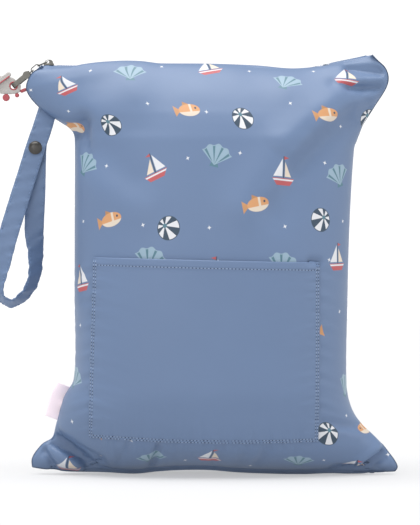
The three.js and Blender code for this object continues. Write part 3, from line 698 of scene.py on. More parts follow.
class Field:
    """A number that varies over a surface: an output in a node tree, with arithmetic that adds nodes."""

    def __init__(self, socket):
        self.socket = socket

    def math(self, operation, *others, clamp=False):
        node = add_node(self.socket.id_data, "Math")
        node.operation = operation
        node.use_clamp = clamp
        for socket, value in zip(node.inputs, (self, *others)):
            feed(socket, value)
        return Field(node.outputs[0])

    def __add__(self, other):
        return self.math("ADD", other)

    def __sub__(self, other):
        return self.math("SUBTRACT", other)

    def __mul__(self, other):
        return self.math("MULTIPLY", other)

    def __truediv__(self, other):
        return self.math("DIVIDE", other)

    def times_plus(self, factor, more):
        return self.math("MULTIPLY_ADD", factor, more)


def new_material(name):
    material = bpy.data.materials.new(name)
    material.use_nodes = True
    tree = material.node_tree
    return material, tree, tree.nodes["Principled BSDF"]


def cloth_place(tree):
    """Where a point lies on the flat cloth, in millimetres."""
    place = add_node(tree, "UVMap")
    place.uv_map = "cloth"
    split = add_node(tree, "SeparateXYZ", Vector=place.outputs["UV"])
    return Field(split.outputs["X"]) / MM, Field(split.outputs["Y"]) / MM


def object_place(tree):
    return add_node(tree, "TexCoord").outputs["Object"]


def noise(tree, size, detail=2.0):
    """Soft noise from 0 to 1 with features of a given size in millimetres."""
    node = add_node(tree, "TexNoise", Vector=object_place(tree), Scale=1 / (size * MM), Detail=detail)
    return Field(node.outputs["Fac"])


def waves(field, pitch):
    """Ribs from -1 to 1 at a pitch in millimetres."""
    return (field * (2 * math.pi / pitch)).math("SINE")


def near_floor(tree, height):
    """1 on the floor, falling to 0 at a height in millimetres."""
    split = add_node(tree, "SeparateXYZ", Vector=object_place(tree))
    return Field(split.outputs["Z"]).math("MULTIPLY_ADD", -1 / (height * MM), 1, clamp=True)


def mixed(tree, share, first, second):
    """A colour between two, each a colour or the output of another mix."""
    # The colours of a mix are its inputs 6 and 7 and its output 2.
    node = add_node(tree, "Mix")
    node.data_type = "RGBA"
    feed(node.inputs["Factor"], share)
    for socket, colour in zip(node.inputs[6:8], (first, second)):
        feed(socket, (*colour, 1) if isinstance(colour, tuple) else colour)
    return node.outputs[2]


def shaded(colour, factor):
    return tuple(min(channel * factor, 1) for channel in colour)


def mottled(tree, colour, size, low, high):
    """A colour in soft patches of a given size, shaded between two factors."""
    return mixed(tree, noise(tree, size), shaded(colour, low), shaded(colour, high))


def set_bump(tree, shader, height, strength, reach):
    """Small relief: reach is the height of a full step, in millimetres."""
    bump = add_node(tree, "Bump", Strength=strength, Distance=reach * MM, Height=height)
    feed(shader.inputs["Normal"], bump.outputs[0])


def set_roughness(tree, shader, low, high, size):
    feed(shader.inputs["Roughness"], noise(tree, size).times_plus(high - low, low))


# Print motifs, drawn from distances in millimetres that are below zero inside a shape

EDGE = 0.35
TOSS = {"period": 136.0, "rise": 92.0, "jitter": 24.0, "swing": 0.9}
SPECKLE = {"period": 68.0, "rise": 46.0, "jitter": 22.0, "swing": 1.2}


def inside(distance):
    return distance.math("MULTIPLY_ADD", -1 / EDGE, 0.5, clamp=True)


def length(x, y):
    return y.math("MULTIPLY_ADD", y, x * x).math("SQRT")


def oval(x, y, middle, half):
    return (length((x - middle[0]) / half[0], (y - middle[1]) / half[1]) - 1) * min(half)


def disc(x, y, middle, radius):
    return length(x - middle[0], y - middle[1]) - radius


def polygon(x, y, corners):
    """A convex outline, its corners anticlockwise."""
    whole = None
    for (ax, ay), (bx, by) in zip(corners, corners[1:] + corners[:1]):
        run = math.hypot(bx - ax, by - ay)
        out_x, out_y = (by - ay) / run, (ax - bx) / run
        side = y.times_plus(out_y, x.times_plus(out_x, -(ax * out_x + ay * out_y)))
        whole = side if whole is None else whole.math("MAXIMUM", side)
    return whole


def overlap(first, second):
    return first.math("MAXIMUM", second)


def lattice(tree, u, v, offset, spread, seed):
    """Places seen from the nearest point of a half-drop lattice, shifted, swung and mirrored at random."""
    row = ((v - offset[1]) / spread["rise"]).math("ROUND")
    y = (v - offset[1]) - row * spread["rise"]
    shifted = (u - offset[0]) - row * (spread["period"] / 2)
    column = (shifted / spread["period"]).math("ROUND")
    x = shifted - column * spread["period"]
    cell = add_node(tree, "CombineXYZ", X=column, Y=row, Z=seed)
    chance = add_node(tree, "TexWhiteNoise", Vector=cell.outputs[0])
    split = add_node(tree, "SeparateColor", Color=chance.outputs["Color"])
    red, green, blue = (Field(socket) - 0.5 for socket in split.outputs)
    x = x - red * spread["jitter"]
    y = y - green * spread["jitter"]
    angle = blue * spread["swing"]
    cosine = angle.math("COSINE")
    sine = angle.math("SINE")
    across = (x * cosine + y * sine) * red.math("SIGN")
    return across, y * cosine - x * sine


def fish(x, y):
    """An orange fish with a cream belly and band."""
    body = oval(x, y, (1.5, 0), (10.5, 6))
    tail = polygon(x, y, [(-7, 0), (-13.5, 5.5), (-13.5, -5.5)])
    fin = polygon(x, y, [(-4, 4), (6, 4), (-3, 9)])
    belly = overlap(body, y + 1.6)
    band = overlap(body, (x - 3.2).math("ABSOLUTE") - 1.1)
    return [
        (fin, shaded(PRINT["orange"], 0.7)), (tail, shaded(PRINT["orange"], 0.85)), (body, PRINT["orange"]),
        (belly, PRINT["cream"]), (band, PRINT["cream"]), (disc(x, y, (8, 1.6), 1.0), PRINT["navy"]),
    ]


def boat(x, y):
    """A red boat with two white sails."""
    hull = polygon(x, y, [(-7, -11), (7, -11), (11.5, -5), (-11.5, -5)])
    trim = overlap(hull, (y + 6.4).math("ABSOLUTE") - 0.7)
    mast = overlap(x.math("ABSOLUTE") - 0.5, (y - 4).math("ABSOLUTE") - 9.5)
    main = polygon(x, y, [(1.3, -3.6), (10.5, -3.6), (1.3, 11.5)])
    jib = polygon(x, y, [(-1.3, -3.6), (-1.3, 8.5), (-8.5, -3.6)])
    flag = polygon(x, y, [(-5, 12), (-0.3, 10.5), (-0.3, 13.5)])
    return [
        (mast, PRINT["navy"]), (hull, PRINT["red"]), (trim, PRINT["white"]), (main, PRINT["white"]),
        (jib, shaded(PRINT["cream"], 1.05)), (flag, PRINT["red"]),
    ]


def ball(x, y):
    """A beach ball with navy and white wedges about an off-centre pole."""
    whole = disc(x, y, (0, 0), 10.5)
    angle = (y - 3.2).math("ARCTAN2", x - 2.6)
    wedge = (angle * (3 / math.pi)).math("FRACT") - 0.5
    edge = length(x - 2.6, y - 3.2) * 1.6
    white = overlap(disc(x, y, (0, 0), 9.8), wedge * edge)
    return [
        (whole, PRINT["navy"]), (white, PRINT["white"]), (disc(x, y, (2.6, 3.2), 1.9), PRINT["teal"]),
    ]


def shell(x, y):
    """A pale blue scallop with teal ribs."""
    up = y + 9
    angle = x.math("ARCTAN2", up)
    away = length(x, up)
    wide = (angle.math("ABSOLUTE") - 0.95) * away
    rim = away - (angle * 12).math("COSINE").times_plus(0.8, 18.2)
    fan = overlap(wide, rim)
    rib = (angle * 12).math("COSINE").times_plus(2.2, 1.4)
    hinge = polygon(x, y, [(-4.5, -10.5), (4.5, -10.5), (3, -6.5), (-3, -6.5)])
    return [
        (hinge, PRINT["teal"]), (fan, PRINT["pale"]), (overlap(fan + 0.7, rib), PRINT["teal"]),
    ]


def sparkle(x, y):
    """A small white spark with four points."""
    points = x.math("ABSOLUTE").math("SQRT") + y.math("ABSOLUTE").math("SQRT")
    return [(points - 1.62, PRINT["white"])]


# One row for each motif: where its lattice starts, how it is spread and the seed of its scatter.
MOTIFS = [
    (fish, (8, 12), TOSS, 3.0),
    (ball, (76, 12), TOSS, 7.0),
    (boat, (42, 58), TOSS, 11.0),
    (shell, (110, 58), TOSS, 19.0),
    (sparkle, (42, 14), SPECKLE, 23.0),
]


def printed(tree, u, v, colour):
    """The cloth's colour with every motif laid over it."""
    for draw, offset, spread, seed in MOTIFS:
        x, y = lattice(tree, u, v, offset, spread, seed)
        for distance, ink in draw(x, y):
            colour = mixed(tree, inside(distance), colour, ink)
    return colour


# The fine weave, and the painted shade that darkens the printed cloth towards the floor.
WEAVE = {"pitch": 0.7, "share": 0.03}
PAINTED_BASE_SHADE = {"height": 17.0, "power": 2, "share": 0.8, "shade": 0.25}


def cloth_material(name, colour, with_print=False):
    """Satin coated cloth: a fine weave, soft creases and slightly uneven gloss."""
    material, tree, shader = new_material(name)
    u, v = cloth_place(tree)
    shade = mottled(tree, colour, size=90, low=0.93, high=1.07)
    if with_print:
        # Painted shade: the printed cloth darkens towards the floor, where its base stands in shade.
        base_shade_share = near_floor(tree, PAINTED_BASE_SHADE["height"]).math("POWER", PAINTED_BASE_SHADE["power"]) * PAINTED_BASE_SHADE["share"]
        shade = mixed(tree, base_shade_share, printed(tree, u, v, shade), shaded(colour, PAINTED_BASE_SHADE["shade"]))
    weave = waves(u, WEAVE["pitch"]) * waves(v, WEAVE["pitch"]) * WEAVE["share"]
    set_bump(tree, shader, noise(tree, size=14, detail=3) + weave, strength=0.35, reach=0.5)
    set_roughness(tree, shader, low=0.40, high=0.52, size=25)
    feed_all(shader, {"Base Color": shade, "Specular IOR Level": 0.5})
    return material


def plain_material(name, colour, low, high, relief, metallic):
    """Metal, thread or soft plastic with uneven gloss, faint mottling and small relief."""
    material, tree, shader = new_material(name)
    shade = mottled(tree, colour, size=3.0, low=0.86, high=1.12)
    set_bump(tree, shader, noise(tree, size=0.6), strength=relief, reach=0.1)
    set_roughness(tree, shader, low, high, size=1.2)
    feed_all(shader, {"Base Color": shade, "Metallic": metallic})
    return material


# One row for each plain material: its colour, least and most roughness, relief, and 1 where it is metal.
PLAIN_LOOKS = {
    "thread": (PALE_THREAD, 0.5, 0.7, 0.2, 0),
    "strap_thread": (shaded(BLUE, 1.3), 0.5, 0.7, 0.2, 0),
    # Painted shade: the dark dots between the pocket's stitches.
    "needle_shade": (shaded(BLUE, 0.25), 0.8, 0.9, 0.1, 0),
    # Partly the dark seam line and partly painted shade in the seam.
    "seam_line_and_shade": (shaded(BLUE, 0.4), 0.8, 0.9, 0.1, 0),
    "zip_coil": (shaded(BLUE, 1.1), 0.3, 0.45, 0.1, 0),
    "steel": ((0.16, 0.157, 0.145), 0.3, 0.45, 0.15, 1),
    "gunmetal": ((0.085, 0.082, 0.078), 0.25, 0.42, 0.25, 1),
    "clasp_metal": ((0.17, 0.165, 0.15), 0.25, 0.4, 0.2, 1),
    "soft_white": ((0.46, 0.44, 0.42), 0.4, 0.55, 0.1, 0),
    "soft_red": ((0.42, 0.075, 0.09), 0.38, 0.52, 0.1, 0),
}


def ribbed_material(name, colour, pitch):
    """Woven tape or ribbon with ribs across it."""
    material, tree, shader = new_material(name)
    u, v = cloth_place(tree)
    rib = waves(v, pitch)
    shade = mixed(tree, rib.times_plus(0.5, 0.5), shaded(colour, 0.95), shaded(colour, 1.04))
    set_bump(tree, shader, rib + waves(u, pitch=0.5) * 0.5, strength=0.3, reach=0.05)
    set_roughness(tree, shader, low=0.6, high=0.75, size=4)
    feed_all(shader, {"Base Color": shade, "Sheen Weight": 0.2})
    return material


FLOOR = {
    "reach": 40.0, "patch": 400, "dark": (0.35, 0.35, 0.355), "pale": (0.37, 0.37, 0.375), "glow": 0.41,
    "roughness": 0.85, "specular": 0.1,
}


def floor_material():
    material, tree, shader = new_material("pale_floor")
    feed_all(shader, {
        "Base Color": mixed(tree, noise(tree, FLOOR["patch"]), FLOOR["dark"], FLOOR["pale"]),
        "Emission Color": (1.0, 1.0, 1.0, 1),
        "Emission Strength": FLOOR["glow"],
        "Roughness": FLOOR["roughness"],
        "Specular IOR Level": FLOOR["specular"],
    })
    return material


# Pieces

def panel_places(grid, offset):
    """Where each point of a panel lies on the flat printed cloth, in millimetres."""
    columns = grid.shape[1]
    across = np.linspace(-0.5, 0.5, columns) * PANEL_FLAT["width"] + offset[0]
    up = travelled(grid[:, columns // 2]) + offset[1]
    return np.stack(np.broadcast_arrays(across[None, :], up[:, None]), -1)


def panels():
    """The bag's two panels as fine grids after the cloth has settled."""
    front, back = (panel_grid(side, SIM["rows"], SIM["columns"]) for side in FACING)
    sew(front, back)
    front, back = settled(front, back)
    front = beside_pocket(pressed(refined(front, **FINE_GRID), "front", CREASES))
    front[..., 2] = np.maximum(front[..., 2], 0)
    return front, refined(back, **FINE_GRID)


def pucker(run):
    """The uneven gathering of a sewn edge at distances along it, about zero."""
    return sum(size * np.sin(2 * math.pi * run / pitch + pitch) for pitch, size in PUCKER_WAVES)


def pocket_sides(rise):
    """The pocket's left and right edges at shares of its height."""
    return [blend(POCKET["bottom" + side][0], POCKET["top" + side][0], rise) for side in ("Left", "Right")]


def beside_pocket(grid):
    """The front panel drawn into small wrinkles that run out from the pocket's seams."""
    x, z = grid[..., 0], grid[..., 2]
    low, top = POCKET["bottomLeft"][1], POCKET["topLeft"][1]
    rise = np.clip((z - low) / (top - low), 0, 1)
    left, right = pocket_sides(rise)
    out = np.maximum(left - x, x - right)
    fade = eased_step(rise, 0, PUCKER["endFade"]) * eased_step(1 - rise, 0, PUCKER["endFade"])
    sides = np.exp(-np.abs(out) / PUCKER["bodyReach"]) * fade * pucker(z + np.abs(out) * PUCKER["slant"])
    across = eased_step(-out, 0, PUCKER["sideFade"])
    under = np.exp(-np.abs(low - z) / PUCKER["bodyReach"]) * across * pucker(x)
    return grid + grid_normals(grid, FACING["front"]) * ((sides + under) * PUCKER["body"])[..., None]


def panel_object(side, grid, material):
    inner = grid - grid_normals(grid, FACING[side]) * SKIN
    places = panel_places(grid, PRINT_START[side])
    panel = wall_object(side + "_panel_cloth", grid, inner, FACING[side], places)
    dress(panel, material, "printed_cloth", side + "_panel")


def ear_seams(front, look):
    """The dark sewn edge round the four ears, thinner towards the body: partly the seam line itself and
    partly painted shade in the seam.
    """
    rows, columns = front.shape[:2]
    low = int(SEAM["low"] * (rows - 1))
    high = int(SEAM["high"] * (rows - 1))
    base = int(SEAM["base"] * (columns - 1))
    edges = {
        "left_low_seam": front[low::-1, 0], "right_low_seam": front[low::-1, -1],
        "left_high_seam": front[high:, 0], "right_high_seam": front[high:, -1],
        "left_base_seam": front[0, base::-1], "right_base_seam": front[0, -base:],
    }
    for name, line in edges.items():
        radius = SEAM["radius"] * np.linspace(SEAM["taper"], 1, len(line))
        dress(rod_object(name, line, radius), look, "printed_cloth")


def surface_y(grid, x, z):
    """Where the front panel lies behind places seen from the front."""
    tree = BVHTree.FromPolygons(grid.reshape(-1, 3).tolist(), grid_faces(*grid.shape[:2]).tolist())
    ahead = Vector((0, 1, 0))
    hits = [tree.ray_cast(Vector((a, RAY_START, b)), ahead)[0].y for a, b in zip(x.ravel(), z.ravel())]
    return np.array(hits).reshape(x.shape)


def eased(values, passes):
    """A grid of numbers evened out between its edges."""
    for _ in range(passes):
        inner = values[:-2, 1:-1] + values[2:, 1:-1] + values[1:-1, :-2] + values[1:-1, 2:]
        values = values.copy()
        values[1:-1, 1:-1] = inner / 4
    return values


def pocket_seat(front):
    """The pocket's own grid of places on the front panel, with their shares across and up."""
    across = bunched(POCKET["columns"], POCKET["bunching"])
    up = bunched(POCKET["rows"], POCKET["bunching"])
    t, rise = np.meshgrid(across, up)
    sag = 4 * t * (1 - t)
    low = blend(POCKET["bottomLeft"][1], POCKET["bottomRight"][1], t) - sag * POCKET["bottomSag"]
    top = blend(POCKET["topLeft"][1], POCKET["topRight"][1], t) - sag * POCKET["topSag"]
    x = blend(*pocket_sides(rise), t)
    z = blend(low, top, rise)
    y = surface_y(front, x, z)
    y = np.minimum(y, eased(y, POCKET["evening"]))
    return np.stack([x, y, z], -1), across, up


def pocket_gap(t, rise, width, height):
    """How far the pocket stands off the front panel: gathered along its seams and slack at its mouth."""
    by_side = np.exp(-np.minimum(t, 1 - t) * width / PUCKER["reach"])
    by_base = np.exp(-rise * height / PUCKER["reach"])
    gathers = by_side * (PUCKER["lift"] + pucker(rise * height))
    gathers += by_base * (PUCKER["lift"] + pucker(t * width))
    slack = blend(POCKET["gap"], POCKET["mouthGap"], np.sin(math.pi * t) * rise**3)
    return np.maximum(slack + PUCKER["height"] * gathers, POCKET["gap"] / 2)


def groove(away):
    """How deep the cloth is drawn in at distances from a row of stitches."""
    return np.exp(-((away / POCKET["grooveWidth"]) ** 2))


def pocket_wall(t, rise, width, height):
    """How thick the pocket is: more along its hem, less under its stitches and at its rim."""
    from_side = np.minimum(t, 1 - t) * width
    from_seam = np.minimum(from_side, rise * height)
    from_mouth = (1 - rise) * height
    grooves = sum(groove(from_seam - inset) for inset in STITCH["insets"])
    grooves += groove(from_mouth - STITCH["hemRow"]) * (from_side > STITCH["hemStart"])
    hem = 1 / (1 + np.exp((from_mouth - POCKET["hemHeight"]) * POCKET["hemSharpness"]))
    wall = blend(POCKET["wall"], POCKET["hemWall"], hem) - POCKET["groove"] * np.clip(grooves, 0, 1)
    border = np.minimum(from_seam, from_mouth)
    return wall * (1 - POCKET["edgeThinning"] * np.exp(-border / POCKET["edge"]))


def pocket(front, material, thread, shade):
    """The patch pocket: sewn down on three sides in two rows, open along its hemmed top."""
    seat, across, up = pocket_seat(front)
    normals = grid_normals(seat, FACING["front"])
    width = np.linalg.norm(seat[:, -1] - seat[:, 0], axis=-1).mean()
    height = np.linalg.norm(seat[-1] - seat[0], axis=-1).mean()
    t, rise = np.meshgrid(across, up)
    gap = pocket_gap(t, rise, width, height)
    outer = seat + normals * (gap + pocket_wall(t, rise, width, height))[..., None]
    inner = seat + normals * (gap * POCKET["innerGap"])[..., None]
    places = np.stack([(t - 0.5) * width, rise * height], -1)
    piece = wall_object("pocket_cloth", outer, inner, FACING["front"], places)
    dress(piece, material, "plain_cloth", "front_pocket")
    lines = pocket_rows(outer, normals, across, up, width, height)
    dress(stitches_object("pocket_stitches", lines), thread, "plain_cloth")
    # Painted shade: dark dots between the pocket's stitches.
    dress(holes_object("pocket_needle_holes", lines), shade, "plain_cloth")


def pocket_rows(outer, normals, across, up, width, height):
    """The pocket's rows of stitches: two round its sewn sides and one along its hem."""
    paths = []
    for inset in STITCH["insets"]:
        sides = np.linspace(STITCH["top"], inset / height, STITCH["steps"])
        base = np.linspace(inset / width, 1 - inset / width, STITCH["steps"])
        sway = (inset + STITCH["sway"] * pucker(sides * height)) / width
        low = (inset + STITCH["sway"] * pucker(base * width)) / height
        rise = np.concatenate([sides, low, sides[::-1]])
        share = np.concatenate([sway, base, 1 - sway[::-1]])
        paths.append((rise, share))
    hem = np.linspace(*STITCH["hemEnds"], STITCH["hemSteps"])
    paths.append((np.full(len(hem), 1 - STITCH["hemRow"] / height), hem))
    lines = []
    for rise, share in paths:
        row = np.interp(rise, up, np.arange(len(up)))
        column = np.interp(share, across, np.arange(len(across)))
        lines.append((on_grid(outer, row, column), on_grid(normals, row, column)))
    return lines


def strap_frame(places):
    """The strap's middle, its width direction and the way its face looks, at places along its rows."""
    rows = np.arange(len(STRAP_ROWS["x"]))
    line = np.stack([STRAP_ROWS[name] for name in "xyz"], 1)
    later = along(rows, line, np.minimum(places + STRAP["probe"], rows[-1]))
    onward = unit(later - along(rows, line, places - STRAP["probe"]))
    flat = unit(np.cross([0, -1, 0], onward))
    face = unit(np.cross(onward, flat))
    turn = np.radians(along(rows, STRAP_ROWS["turn"], places))[:, None]
    across = flat * np.cos(turn) + face * np.sin(turn)
    root = np.clip(1 - places / STRAP["rootRows"], 0, 1)[:, None]
    slope = math.radians(STRAP["rootSlope"])
    seamward = np.array([-math.cos(slope), 0, -math.sin(slope)])
    across = unit(across * (1 - root) + seamward * np.sign(across @ seamward)[:, None] * root)
    return along(rows, line, places), across, unit(np.cross(across, onward))


def strap(material, thread):
    """The wrist strap: a folded strip with soft edges, stitched along both."""
    places = np.linspace(STRAP["root"], len(STRAP_ROWS["x"]) - 1, STRAP["steps"] + 1)
    middle, across, up = strap_frame(places)
    angle = circle(STRAP["sides"])
    out = np.sign(np.cos(angle)) * np.abs(np.cos(angle)) ** STRAP["edgePower"] * STRAP["width"] / 2
    crown = 1 + STRAP["crown"] * (1 - (2 * out / STRAP["width"]) ** 2)
    high = np.sign(np.sin(angle)) * np.abs(np.sin(angle)) ** STRAP["facePower"]
    high = high * STRAP["thickness"] / 2 * crown
    far = travelled(middle)
    ripple = STRAP["ripple"] * pucker(far[:, None] + STRAP["slant"] * out)
    points = middle[:, None] + across[:, None] * out[:, None] + up[:, None] * (high + ripple)[..., None]
    flat = np.stack(np.broadcast_arrays(out[None, :], far[:, None]), -1).reshape(-1, 2) * MM
    faces = tube_faces(len(places), STRAP["sides"])
    piece = mesh_object("wrist_strap_cloth", in_frame(points.reshape(-1, 3)), faces, flat)
    dress(piece, material, "plain_cloth", "wrist_strap")
    lines = []
    for side in (-1, 1):
        for facing in (-1, 1):
            edge = across * side * (STRAP["width"] / 2 - STRAP["stitchInset"])
            lift = up * facing * STRAP["thickness"] * STRAP["stitchLift"]
            lines.append((middle + edge + lift, up * facing))
    dress(stitches_object("wrist_strap_stitches", lines), thread, "plain_cloth")


def label(material):
    """The bare ribbon folded into the left seam."""
    shares = np.linspace(LABEL["low"], LABEL["high"], LABEL["rows"] + 1)
    x, z = (along(SECTIONS["share"], SECTIONS[name], shares) for name in ("leftX", "leftZ"))
    seam = np.stack([x, np.zeros(len(x)), z], 1)
    run = unit(seam[-1] - seam[0])
    outward = np.array([-run[2], 0, run[0]])
    reach = np.linspace(LABEL["root"], LABEL["reach"], LABEL["columns"] + 1)
    middle = seam[:, None] + outward * (CLOTH + 2 * SEAM_GAP + reach)[None, :, None]
    far = reach / LABEL["reach"]
    curl = LABEL["bow"] * np.sin(far * math.pi * LABEL["bowTurn"])
    middle[..., 1] -= curl * np.linspace(LABEL["lowBow"], 1, len(shares))[:, None]
    taper = np.clip(1 - np.abs(far) ** LABEL["edgePower"], LABEL["thinnest"], 1)
    half = LABEL["thickness"] / 2 * np.sqrt(taper)
    normals = grid_normals(middle, FACING["front"])
    places = np.stack(np.meshgrid(reach, travelled(seam)), -1)
    outer = middle + normals * half[None, :, None]
    inner = middle - normals * half[None, :, None]
    piece = wall_object("side_label_ribbon", outer, inner, FACING["front"], places)
    dress(piece, material, "label_cloth", "side_label")


def zip_edges(front, back, shares):
    """The two edges of the mouth at shares from -1 to 1 along it."""
    column = (shares + 1) / 2 * (front.shape[1] - 1)
    last = np.full(len(shares), front.shape[0] - 1.0)
    return on_grid(front, last, column), on_grid(back, last, column)


def zip_tape(front, back, look):
    """The woven tape between the panels' edges, right across the mouth."""
    tape = ZIP["tape"]
    near, far = zip_edges(front, back, np.linspace(-tape["end"], tape["end"], ZIP["steps"] + 1))
    across = unit(far - near)
    wide = np.linalg.norm(far - near, axis=1, keepdims=True)
    inset = np.minimum(tape["inset"], wide * tape["insetShare"])
    near = near + across * inset
    far = far - across * inset
    share = np.linspace(0, 1, tape["columns"] + 1)
    grid = blend(near[:, None], far[:, None], share[:, None])
    lower = grid - [0, 0, tape["thickness"]]
    wide = np.linalg.norm(far - near, axis=1, keepdims=True)
    places = np.stack(np.broadcast_arrays((share - 0.5) * wide, travelled(near)[:, None]), -1)
    dress(wall_object("zip_tape_cloth", grid, lower, 1, places), look, "zip_tape", "zip_tape")


def zip_teeth(front, back, look):
    """The closed coil along the middle of the mouth."""
    near, far = zip_edges(front, back, np.linspace(ZIP["start"], ZIP["end"], ZIP["steps"] + 1))
    line = (near + far) / 2
    run = travelled(line)
    at = np.arange(ZIP["pitch"], run[-1], ZIP["pitch"])
    middle = read_along(line, run, at)
    across = unit(read_along(far - near, run, at))
    ahead = unit(np.gradient(middle, axis=0))
    lean = math.radians(ZIP["lean"]) * (1 - 2 * (np.arange(len(at)) % 2))
    bar = unit(across + ahead * np.tan(lean)[:, None])
    up = unit(np.cross(ahead, across))
    size = (ZIP["tooth"], ZIP["wire"], ZIP["bow"])
    teeth = beads_object("zip_coil_teeth", middle + up * ZIP["wire"], bar, up, *size)
    dress(teeth, look, "zip_coil", "zip_coil")


def topstitches(side, grid, thread):
    """One row of stitches along a panel's edge of the mouth."""
    row = ZIP["topstitch"]
    columns = np.linspace(row["from"], row["to"], ZIP["steps"]) * (grid.shape[1] - 1)
    down = grid.shape[0] - 1.0 - np.arange(row["rows"])
    lines = [on_grid(grid, down, np.full(len(down), column)) for column in columns]
    rows = np.array([np.interp(row["inset"], travelled(line), down) for line in lines])
    normals = on_grid(grid_normals(grid, FACING[side]), rows, columns)
    stitches = stitches_object(side + "_topstitches", [(on_grid(grid, rows, columns), normals)])
    dress(stitches, thread, "printed_cloth")


# Outlines of the snap's pieces from the axis out and back, as shares of their radius and height.
DOME = (
    (0.97, 0), (1, 0.16), (0.985, 0.34), (0.93, 0.46), (0.86, 0.44), (0.82, 0.50), (0.70, 0.76),
    (0.50, 0.92), (0.25, 0.985),
)
STUD = ((0.94, 0), (1, 0.1), (1, 0.9), (0.94, 1))


def snap_profile(outline, radius, height):
    return [(SNAP["tip"], 0), *((r * radius, h * height) for r, h in outline), (SNAP["tip"], height)]


def snap(look):
    """The strap's snap: a domed cap with a turned rim, the stud between the strands and its rear cap."""
    cap_low, cap_high = table_box("snap_cap")
    rear_low, _ = table_box("snap_back")
    core_low, core_high = table_box("snap_core")
    core_size = core_high - core_low
    x, _, z = (cap_low + cap_high) / 2
    dome = snap_profile(DOME, SNAP["radius"], SNAP["height"])
    stud = snap_profile(STUD, core_size[0] / 2, core_size[1])
    pieces = (
        ("snap_cap", dome, cap_high, -1),
        ("snap_back", dome, rear_low, 1),
        ("snap_core", stud, core_low, 1),
    )
    for node, profile, seat, facing in pieces:
        piece = turned_object(node + "_metal", profile, (x, seat[1], z), facing)
        dress(piece, look, "gunmetal", node)


# One row for each small hard piece: its node, voxel size, smoothing passes, swelling, material and slot.
HARD_PIECES = [
    ("zip_slider", 0.16, 4, 0, "steel", "steel"),
    ("pull_link_1", 0.09, 6, 0.05, "steel", "steel"),
    ("pull_link_2", 0.09, 6, 0.05, "steel", "steel"),
    ("pull_clasp", 0.16, 4, 0, "clasp_metal", "gunmetal"),
    ("charm_hull", 0.26, 6, 0.1, "soft_white", "charm_white"),
    ("charm_nose", 0.22, 5, 0.2, "soft_red", "charm_red"),
    ("charm_tail", 0.22, 5, 0.25, "soft_red", "charm_red"),
    ("charm_wing", 0.22, 6, 0, "soft_white", "charm_white"),
    ("charm_wheel_1", 0.2, 5, 0.25, "soft_red", "charm_red"),
    ("charm_wheel_2", 0.2, 5, 0.25, "soft_red", "charm_red"),
]


def hard_pieces(looks):
    for node, voxel, passes, swell, look, slot in HARD_PIECES:
        piece = rounded_copy(node, node + "_smooth", voxel, passes, swell)
        dress(piece, looks[look], slot, node)


def on_charm(x, z, lift):
    """Places on the charm's front, from its eye along and across its hull."""
    tilt = math.radians(CHARM["tilt"])
    across = x * math.cos(tilt) + z * math.sin(tilt)
    up = z * math.cos(tilt) - x * math.sin(tilt)
    return np.stack([across, np.full(len(x), -lift), up], 1) + CHARM["eye"]


def charm_rims(look):
    """The moulded rims on the charm's front: one round its eye and one along the lower edge of its wing."""
    ring, wing = CHARM["ring"], CHARM["wing"]
    angle = np.linspace(0, 2 * math.pi, CHARM["steps"])
    eye = on_charm(ring["radius"] * np.cos(angle), ring["radius"] * np.sin(angle), ring["lift"])
    dress(rod_object("charm_eye_rim", eye, CHARM["rim"]), look, "charm_red")
    turn = math.radians(wing["turn"])
    run = np.linspace(-wing["half"], wing["half"], CHARM["steps"])
    x = wing["middle"][0] + run * math.cos(turn) + wing["edge"] * math.sin(turn)
    z = wing["middle"][1] + run * math.sin(turn) - wing["edge"] * math.cos(turn)
    dress(rod_object("charm_wing_rim", on_charm(x, z, wing["lift"]), CHARM["rim"]), look, "charm_red")


# Stage

def camera():
    data = bpy.data.cameras.new("camera")
    data.lens = CAMERA["lens"]
    data.clip_end = CAMERA["clipEnd"]
    obj = bpy.data.objects.new("camera", data)
    eye, aim = (Vector(in_frame(CAMERA[name])) for name in ("eye", "aim"))
    obj.location = eye
    obj.rotation_euler = (aim - eye).to_track_quat("-Z", "Y").to_euler()
    bpy.context.scene.collection.objects.link(obj)
    bpy.context.scene.camera = obj


# Wide soft suns. height and swing are where one stands, in degrees above the floor and from the front.
SUNS = table(["name", "height", "swing", "spread", "strength"], [
    ["overhead", 78, -48, 58, 3.4],
    ["left_key", 14, -18, 24, 0.24],
    ["right_fill", 24, 72, 60, 0.45],
])

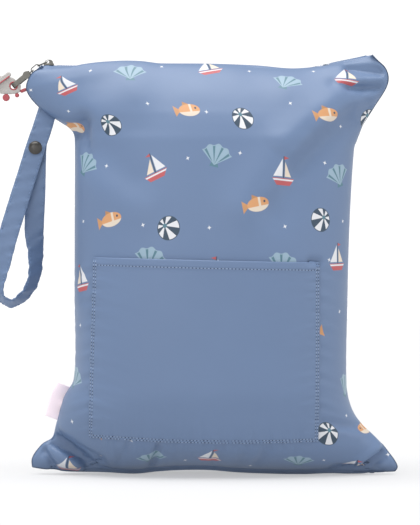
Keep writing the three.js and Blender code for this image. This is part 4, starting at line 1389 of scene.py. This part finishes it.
# The sky's strength falls from a white backdrop to a dim top, between two heights of a direction.
SKY = {"From Min": 0.20, "From Max": 0.34, "To Min": 1.12, "To Max": 0.50}


def suns():
    for k, name in enumerate(SUNS["name"]):
        data = bpy.data.lights.new(name, "SUN")
        data.energy = SUNS["strength"][k]
        data.angle = math.radians(SUNS["spread"][k])
        lamp = bpy.data.objects.new(name, data)
        lamp.rotation_euler = (math.radians(90 - SUNS["height"][k]), 0, math.radians(SUNS["swing"][k]))
        bpy.context.scene.collection.objects.link(lamp)


def sky():
    """Light from all round, white near the horizon."""
    world = bpy.data.worlds.new("studio")
    world.use_nodes = True
    tree = world.node_tree
    split = add_node(tree, "SeparateXYZ", Vector=add_node(tree, "TexCoord").outputs["Generated"])
    level = add_node(tree, "MapRange", Value=split.outputs["Z"], **SKY)
    level.interpolation_type = "SMOOTHSTEP"
    light = {"Color": (1.0, 1.0, 1.0, 1), "Strength": level.outputs["Result"]}
    feed_all(tree.nodes["Background"], light)
    bpy.context.scene.world = world


def stage():
    suns()
    sky()
    reach = FLOOR["reach"]
    corners = [(-reach, -reach, 0), (reach, -reach, 0), (reach, reach, 0), (-reach, reach, 0)]
    floor = mesh_object("floor", corners, [(0, 1, 2, 3)])
    floor.data.materials.append(floor_material())
    bpy.context.scene.view_settings.view_transform = "Standard"


def build():
    camera()
    stage()
    printed_look = cloth_material("printed_cloth", BLUE, with_print=True)
    plain_look = cloth_material("plain_cloth", BLUE)
    looks = {name: plain_material(name, *row) for name, row in PLAIN_LOOKS.items()}
    front, back = panels()
    panel_object("front", front, printed_look)
    panel_object("back", back, printed_look)
    ear_seams(front, looks["seam_line_and_shade"])
    pocket(front, plain_look, looks["thread"], looks["needle_shade"])
    strap(plain_look, looks["strap_thread"])
    label(ribbed_material("label_ribbon", PINK, pitch=0.9))
    zip_tape(front, back, ribbed_material("zip_tape", shaded(BLUE, 0.9), pitch=1.1))
    zip_teeth(front, back, looks["zip_coil"])
    topstitches("front", front, looks["thread"])
    topstitches("back", back, looks["thread"])
    snap(looks["gunmetal"])
    hard_pieces(looks)
    charm_rims(looks["soft_red"])


build()
